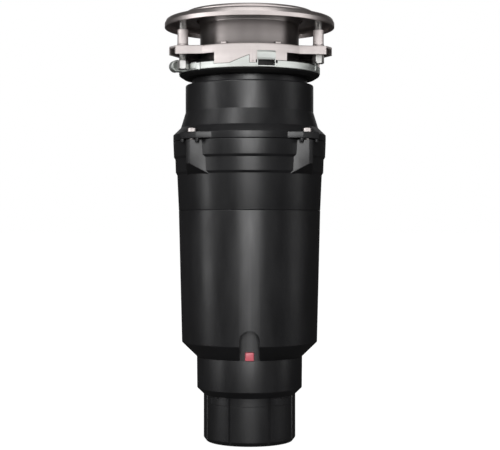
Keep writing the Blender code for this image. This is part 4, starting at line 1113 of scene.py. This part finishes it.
def make_hook(turn):
    """Bulged hook plate with a window, standing just outside the apron on a narrow foot."""
    count = 14
    span = HOOK_RIGHT - HOOK_LEFT
    bearings = [HOOK_LEFT + span * i / count + turn for i in range(count + 1)]
    section = filleted([
        (HOOK_INNER, BAND_LOW + 0.1), (HOOK_FACE, BAND_LOW + 0.1, 0.4), (HOOK_FACE, WINDOW_LOW, 0.3),
        (HOOK_FACE, HOOK_LOW, 0.3), (HOOK_BULGE, HOOK_LOW + 1.6, 1.5), (HOOK_BULGE, HOOK_HIGH - 1.8, 1.4),
        (62.2, HOOK_HIGH, 0.5), (HOOK_INNER, HOOK_HIGH),
    ])
    plate = loft("plate", [[(*polar(r, phi), z) for r, z in section] for phi in bearings])
    post = 0.55
    window = spread([(bearings[0] + post, 0.0), (bearings[-1] - post, 0.0)], 1.3)
    stations = [(phi, WINDOW_LOW + 0.02, HOOK_LOW + 0.07) for phi, _ in window]
    cut(plate, wall_strip("window", stations, 59.0, 66.0))
    stations = [(phi, BAND_LOW + 0.3, WINDOW_LOW - 0.2) for phi in bearings[1:-1]]
    join(plate, wall_strip("foot", stations, RING_RADIUS - 0.8, 62.5))
    return plate


def make_eye(phi):
    """Wrench eye with its axis along the ring, closed at its far end."""
    place = turn_z(phi) @ Matrix.Translation((0, -EYE_CIRCLE, EYE_Z))
    place = place @ Matrix.Rotation(math.radians(90), 4, "Y")
    ring = soften(prism("eye", circle(EYE_RADIUS, 48, start=2.0), -4.5, 4.5, place), 0.5, 50.0)
    cut(ring, prism("eye_hole", circle(EYE_HOLE, 48, start=2.0), -3.3, 6.0, place))
    half = math.degrees(3.8 / RING_RADIUS)
    stations = [(phi - half + half * i / 4, BAND_LOW + 0.3, BAND_LOW + 2.2) for i in range(9)]
    return join(ring, wall_strip("web", stations, 60.5, EYE_CIRCLE - 1.4))


def make_turning_ring():
    """Turning ring: band with three ramps, hooks and knuckles, and two wrench eyes."""
    inner = RING_RADIUS - RING_THICK
    body = lathe("turning_ring_body", [
        (inner, BAND_LOW, 0.4), (RING_RADIUS, BAND_LOW, 0.6), (RING_RADIUS, 331.0), (inner, 331.0),
    ], 200)
    cut(body, above_band())
    for k in range(3):
        join(body, make_hook(120 * k))
    for k in range(3):
        knuckle = [(KNUCKLE_LEFT + 120 * k + i, BAND_LOW + 0.7, BAND_TOP + 1.0) for i in range(8)]
        join(body, soften(wall_strip("knuckle", knuckle, 59.9, KNUCKLE_OUTER), 0.8, 40.0))
        x, y = polar(DENT_CIRCLE, DENT_BEARING + 120 * k)
        cut(body, rod_z("dent", DENT_RADIUS, x, y, 310.0, 330.0, 48))
    join(body, *[make_eye(phi) for phi in EYE_BEARINGS])
    return finish_piece(body, "lower_mounting_ring", "ring_green", 30.0)


# ---------------------------------------------------------------- grinding parts and small screws

def make_turntable():
    """Flywheel plate with pressed rings, pin holes and an upturned edge."""
    edge = high_of("turntable", 0)
    top = high_of("turntable", 2) - 1.6
    body = lathe("turntable_body", [
        (4.4, top, 0.2), (14.0, top, 0.3), (15.0, top - 0.5, 0.3), (24.0, top - 0.5, 0.3),
        (25.0, top, 0.3), (edge - 1.6, top, 0.6), (edge - 1.0, top + 1.6, 0.3), (edge, top + 1.6, 0.3),
        (edge, top - 1.2, 0.5), (edge - 1.0, top - 2.2, 0.5), (13.0, top - 2.2, 0.5),
        (12.0, 238.0, 0.5), (6.4, 238.0), (6.4, 249.0), (4.4, 249.0),
    ])
    for side in (-1, 1):
        cut(body, rod_z("pin_hole", 3.5, side * PIN_CIRCLE, 0.0, 245.0, 255.0, SMALL, 5))
    return finish_piece(body, "turntable")


def make_grind_ring():
    """Shredder ring with slots in its lower edge and rounded upper teeth."""
    low, high = span("grind_ring", 2)
    body = lathe("shredder_ring", [(55.4, low), (57.5, low, 0.3), (57.5, high, 0.4), (55.4, high, 0.4)])
    for k in range(12):
        matrix = turn_z(30 * k + 3.75)
        outline = [(53.0, -2.0), (60.0, -2.0), (60.0, 2.0), (53.0, 2.0)]
        cut(body, prism("slot", outline, low - 1.0, low + 7.0, matrix))
    return finish_piece(body, "grind_ring")


def make_impeller(index, side):
    """Swivelling lug with rounded edges."""
    node = f"impeller_{index}"
    low, high = span(node, 2)
    heel = arc(7.5, 100, 260, 20)
    nose = arc(4.5, -80, 80, 16, (10.0, 0.0))
    outline = [(side * (PIN_CIRCLE + x), y) for x, y in heel + nose]
    body = soften(prism(f"swivel_lug_{index}", outline, low, high), 0.9, 50.0)
    cut(body, rod_z("hole", 3.5, side * PIN_CIRCLE, 0.0, low - 1, high + 1))
    return finish_piece(body, node)


def make_small_screw(node, name, head, shank, head_height, x, y):
    """Pan head screw that points up from the underside."""
    low, high = span(node, 2)
    body = lathe(name, [
        (0.0, low), (head - 0.6, low, 0.3), (head, low + head_height * 0.6, 0.2),
        (head, low + head_height), (shank, low + head_height), (shank, high), (0.0, high),
    ], 40, (x, y))
    slot = prism("slot", box_outline(-5.0, 5.0, -0.35, 0.35, 0.05), low - 1.0, low + 0.4,
                 Matrix.Translation((x, y, 0.0)) @ turn_z(35.0))
    cut(body, slot)
    return finish_piece(body, node)


# ---------------------------------------------------------------- the whole object

def make_object():
    """Every detailed piece, then materials for the CAD nodes that stay."""
    make_base()
    make_shell()
    make_button()
    make_terminal_cover()
    make_small_screw("terminal_cover_screw", "cover_screw", 2.8, 1.6, 0.9, 0.0, 13.6)
    make_small_screw("earth_screw", "earthing_screw", 3.4, 1.7, 1.4, -20.0, -8.0)
    make_drain()
    make_elbow()
    make_discharge_flange()
    make_discharge_gasket()
    make_discharge_screw(1, -1)
    make_discharge_screw(2, 1)
    make_turntable()
    make_grind_ring()
    make_impeller(1, -1)
    make_impeller(2, 1)
    make_hopper()
    for index, phi in enumerate(CORNERS, start=1):
        make_hopper_screw(index, phi)
    make_cushion()
    make_splash_guard()
    make_turning_ring()
    make_upper_ring()
    for index in range(3):
        make_mounting_screw(index)
    make_backup_flange()
    make_fibre_gasket()
    make_sink_flange()
    for name, node in frame["nodes"].items():
        if node.hide_render:
            continue
        for place in node.material_slots:
            place.material = LOOK[SLOT_OF[name]]
        if not node.material_slots:
            node.data.materials.append(LOOK[SLOT_OF[name]])


# ---------------------------------------------------------------- stage, light and camera

def panel(name, azimuth, elevation, distance, width, height, radiance, receivers=()):
    """Soft rectangular light that faces the object; with receivers, it lights only those pieces."""
    data = bpy.data.lights.new(name, "AREA")
    data.shape = "RECTANGLE"
    data.size = width
    data.size_y = height
    data.energy = radiance * math.pi * width * height
    made = bpy.data.objects.new(name, data)
    flat = distance * math.cos(math.radians(elevation))
    x, y = polar(flat, azimuth)
    target = Vector((0.0, 0.0, AIM_HEIGHT))
    made.location = (x, y, target.z + distance * math.sin(math.radians(elevation)))
    made.rotation_mode = "QUATERNION"
    made.rotation_quaternion = (target - made.location).to_track_quat("-Z", "Y")
    made.visible_camera = False
    bpy.context.scene.collection.objects.link(made)
    if receivers:
        group = bpy.data.collections.new(name + "_receivers")
        for piece in receivers:
            group.objects.link(piece)
        made.light_linking.receiver_collection = group
    return made


def make_floor():
    """Plain white floor: a wide round sheet just under the object."""
    bm = bmesh.new()
    rings = [[bm.verts.new((0.0, 0.0, FLOOR_Z))]]
    for radius in FLOOR_RINGS:
        rings.append([bm.verts.new((x, y, FLOOR_Z)) for x, y in circle(radius, 96)])
    skin(bm, rings, closed=False)
    mesh = bpy.data.meshes.new("floor")
    bm.to_mesh(mesh)
    bm.free()
    floor = bpy.data.objects.new("floor", mesh)
    bpy.context.scene.collection.objects.link(floor)
    nodes = Nodes("floor_look")
    nodes.shader.inputs["Base Color"].default_value = (0.6, 0.6, 0.6, 1.0)
    nodes.shader.inputs["Roughness"].default_value = 0.9
    nodes.shader.inputs["Emission Color"].default_value = (1.0, 1.0, 1.0, 1.0)
    nodes.shader.inputs["Emission Strength"].default_value = 1.0
    floor.data.materials.append(nodes.material)
    floor.visible_glossy = False
    floor.visible_diffuse = False


def make_world():
    """White backdrop with a dim surround, so that the panels draw the highlights."""
    world = bpy.data.worlds.new("studio")
    bpy.context.scene.world = world
    world.use_nodes = True
    tree = world.node_tree
    tree.nodes.clear()
    output = tree.nodes.new("ShaderNodeOutputWorld")
    backdrop = tree.nodes.new("ShaderNodeBackground")
    backdrop.inputs["Color"].default_value = (1.0, 1.0, 1.0, 1.0)
    surround = tree.nodes.new("ShaderNodeBackground")
    surround.inputs["Color"].default_value = (1.0, 0.97, 0.96, 1.0)
    surround.inputs["Strength"].default_value = 0.03
    path = tree.nodes.new("ShaderNodeLightPath")
    mix = tree.nodes.new("ShaderNodeMixShader")
    tree.links.new(path.outputs["Is Camera Ray"], mix.inputs[0])
    tree.links.new(surround.outputs[0], mix.inputs[1])
    tree.links.new(backdrop.outputs[0], mix.inputs[2])
    tree.links.new(mix.outputs[0], output.inputs[0])


def make_lights():
    """Narrow panels for the plastic, a wide arc of panels for the metal, and dim ones for both."""
    panel("key", 0.0, 12.0, 2.4, 0.95, 1.35, 9.0, OTHER_PIECES)
    panel("upper_left", -30.0, 38.0, 2.2, 0.7, 0.6, 7.5, OTHER_PIECES)
    panel("left_strip", -71.0, 12.0, 2.2, 0.5, 1.8, 4.2, OTHER_PIECES)
    panel("right_strip", 80.0, 12.0, 2.2, 0.5, 1.8, 1.5, OTHER_PIECES)
    for azimuth, radiance in ((-72.0, 2.8), (-36.0, 1.6), (0.0, 1.4), (36.0, 1.5), (70.0, 1.6)):
        panel(f"metal_{azimuth:.0f}", azimuth, 6.0, 2.4, 1.35, 1.9, radiance, METAL_PIECES)
    panel("metal_high", 0.0, 52.0, 2.4, 2.8, 1.2, 1.7, METAL_PIECES)
    panel("top", 0.0, 89.0, 2.4, 1.2, 1.2, 1.6)
    for side, azimuth in (("left", -160.0), ("right", 160.0)):
        panel(f"rear_{side}", azimuth, 18.0, 2.4, 0.5, 1.0, 0.4)


def make_camera():
    """Level camera in front of the object."""
    data = bpy.data.cameras.new("camera")
    data.lens = LENS
    data.sensor_width = SENSOR
    data.clip_start = 0.05
    data.clip_end = 100.0
    camera = bpy.data.objects.new("camera", data)
    camera.location = CAMERA_PLACE
    camera.rotation_euler = (math.radians(90.0), 0.0, 0.0)
    bpy.context.scene.collection.objects.link(camera)
    bpy.context.scene.camera = camera


make_camera()
make_object()
make_floor()
make_world()
make_lights()
bpy.context.scene.view_settings.view_transform = "Standard"
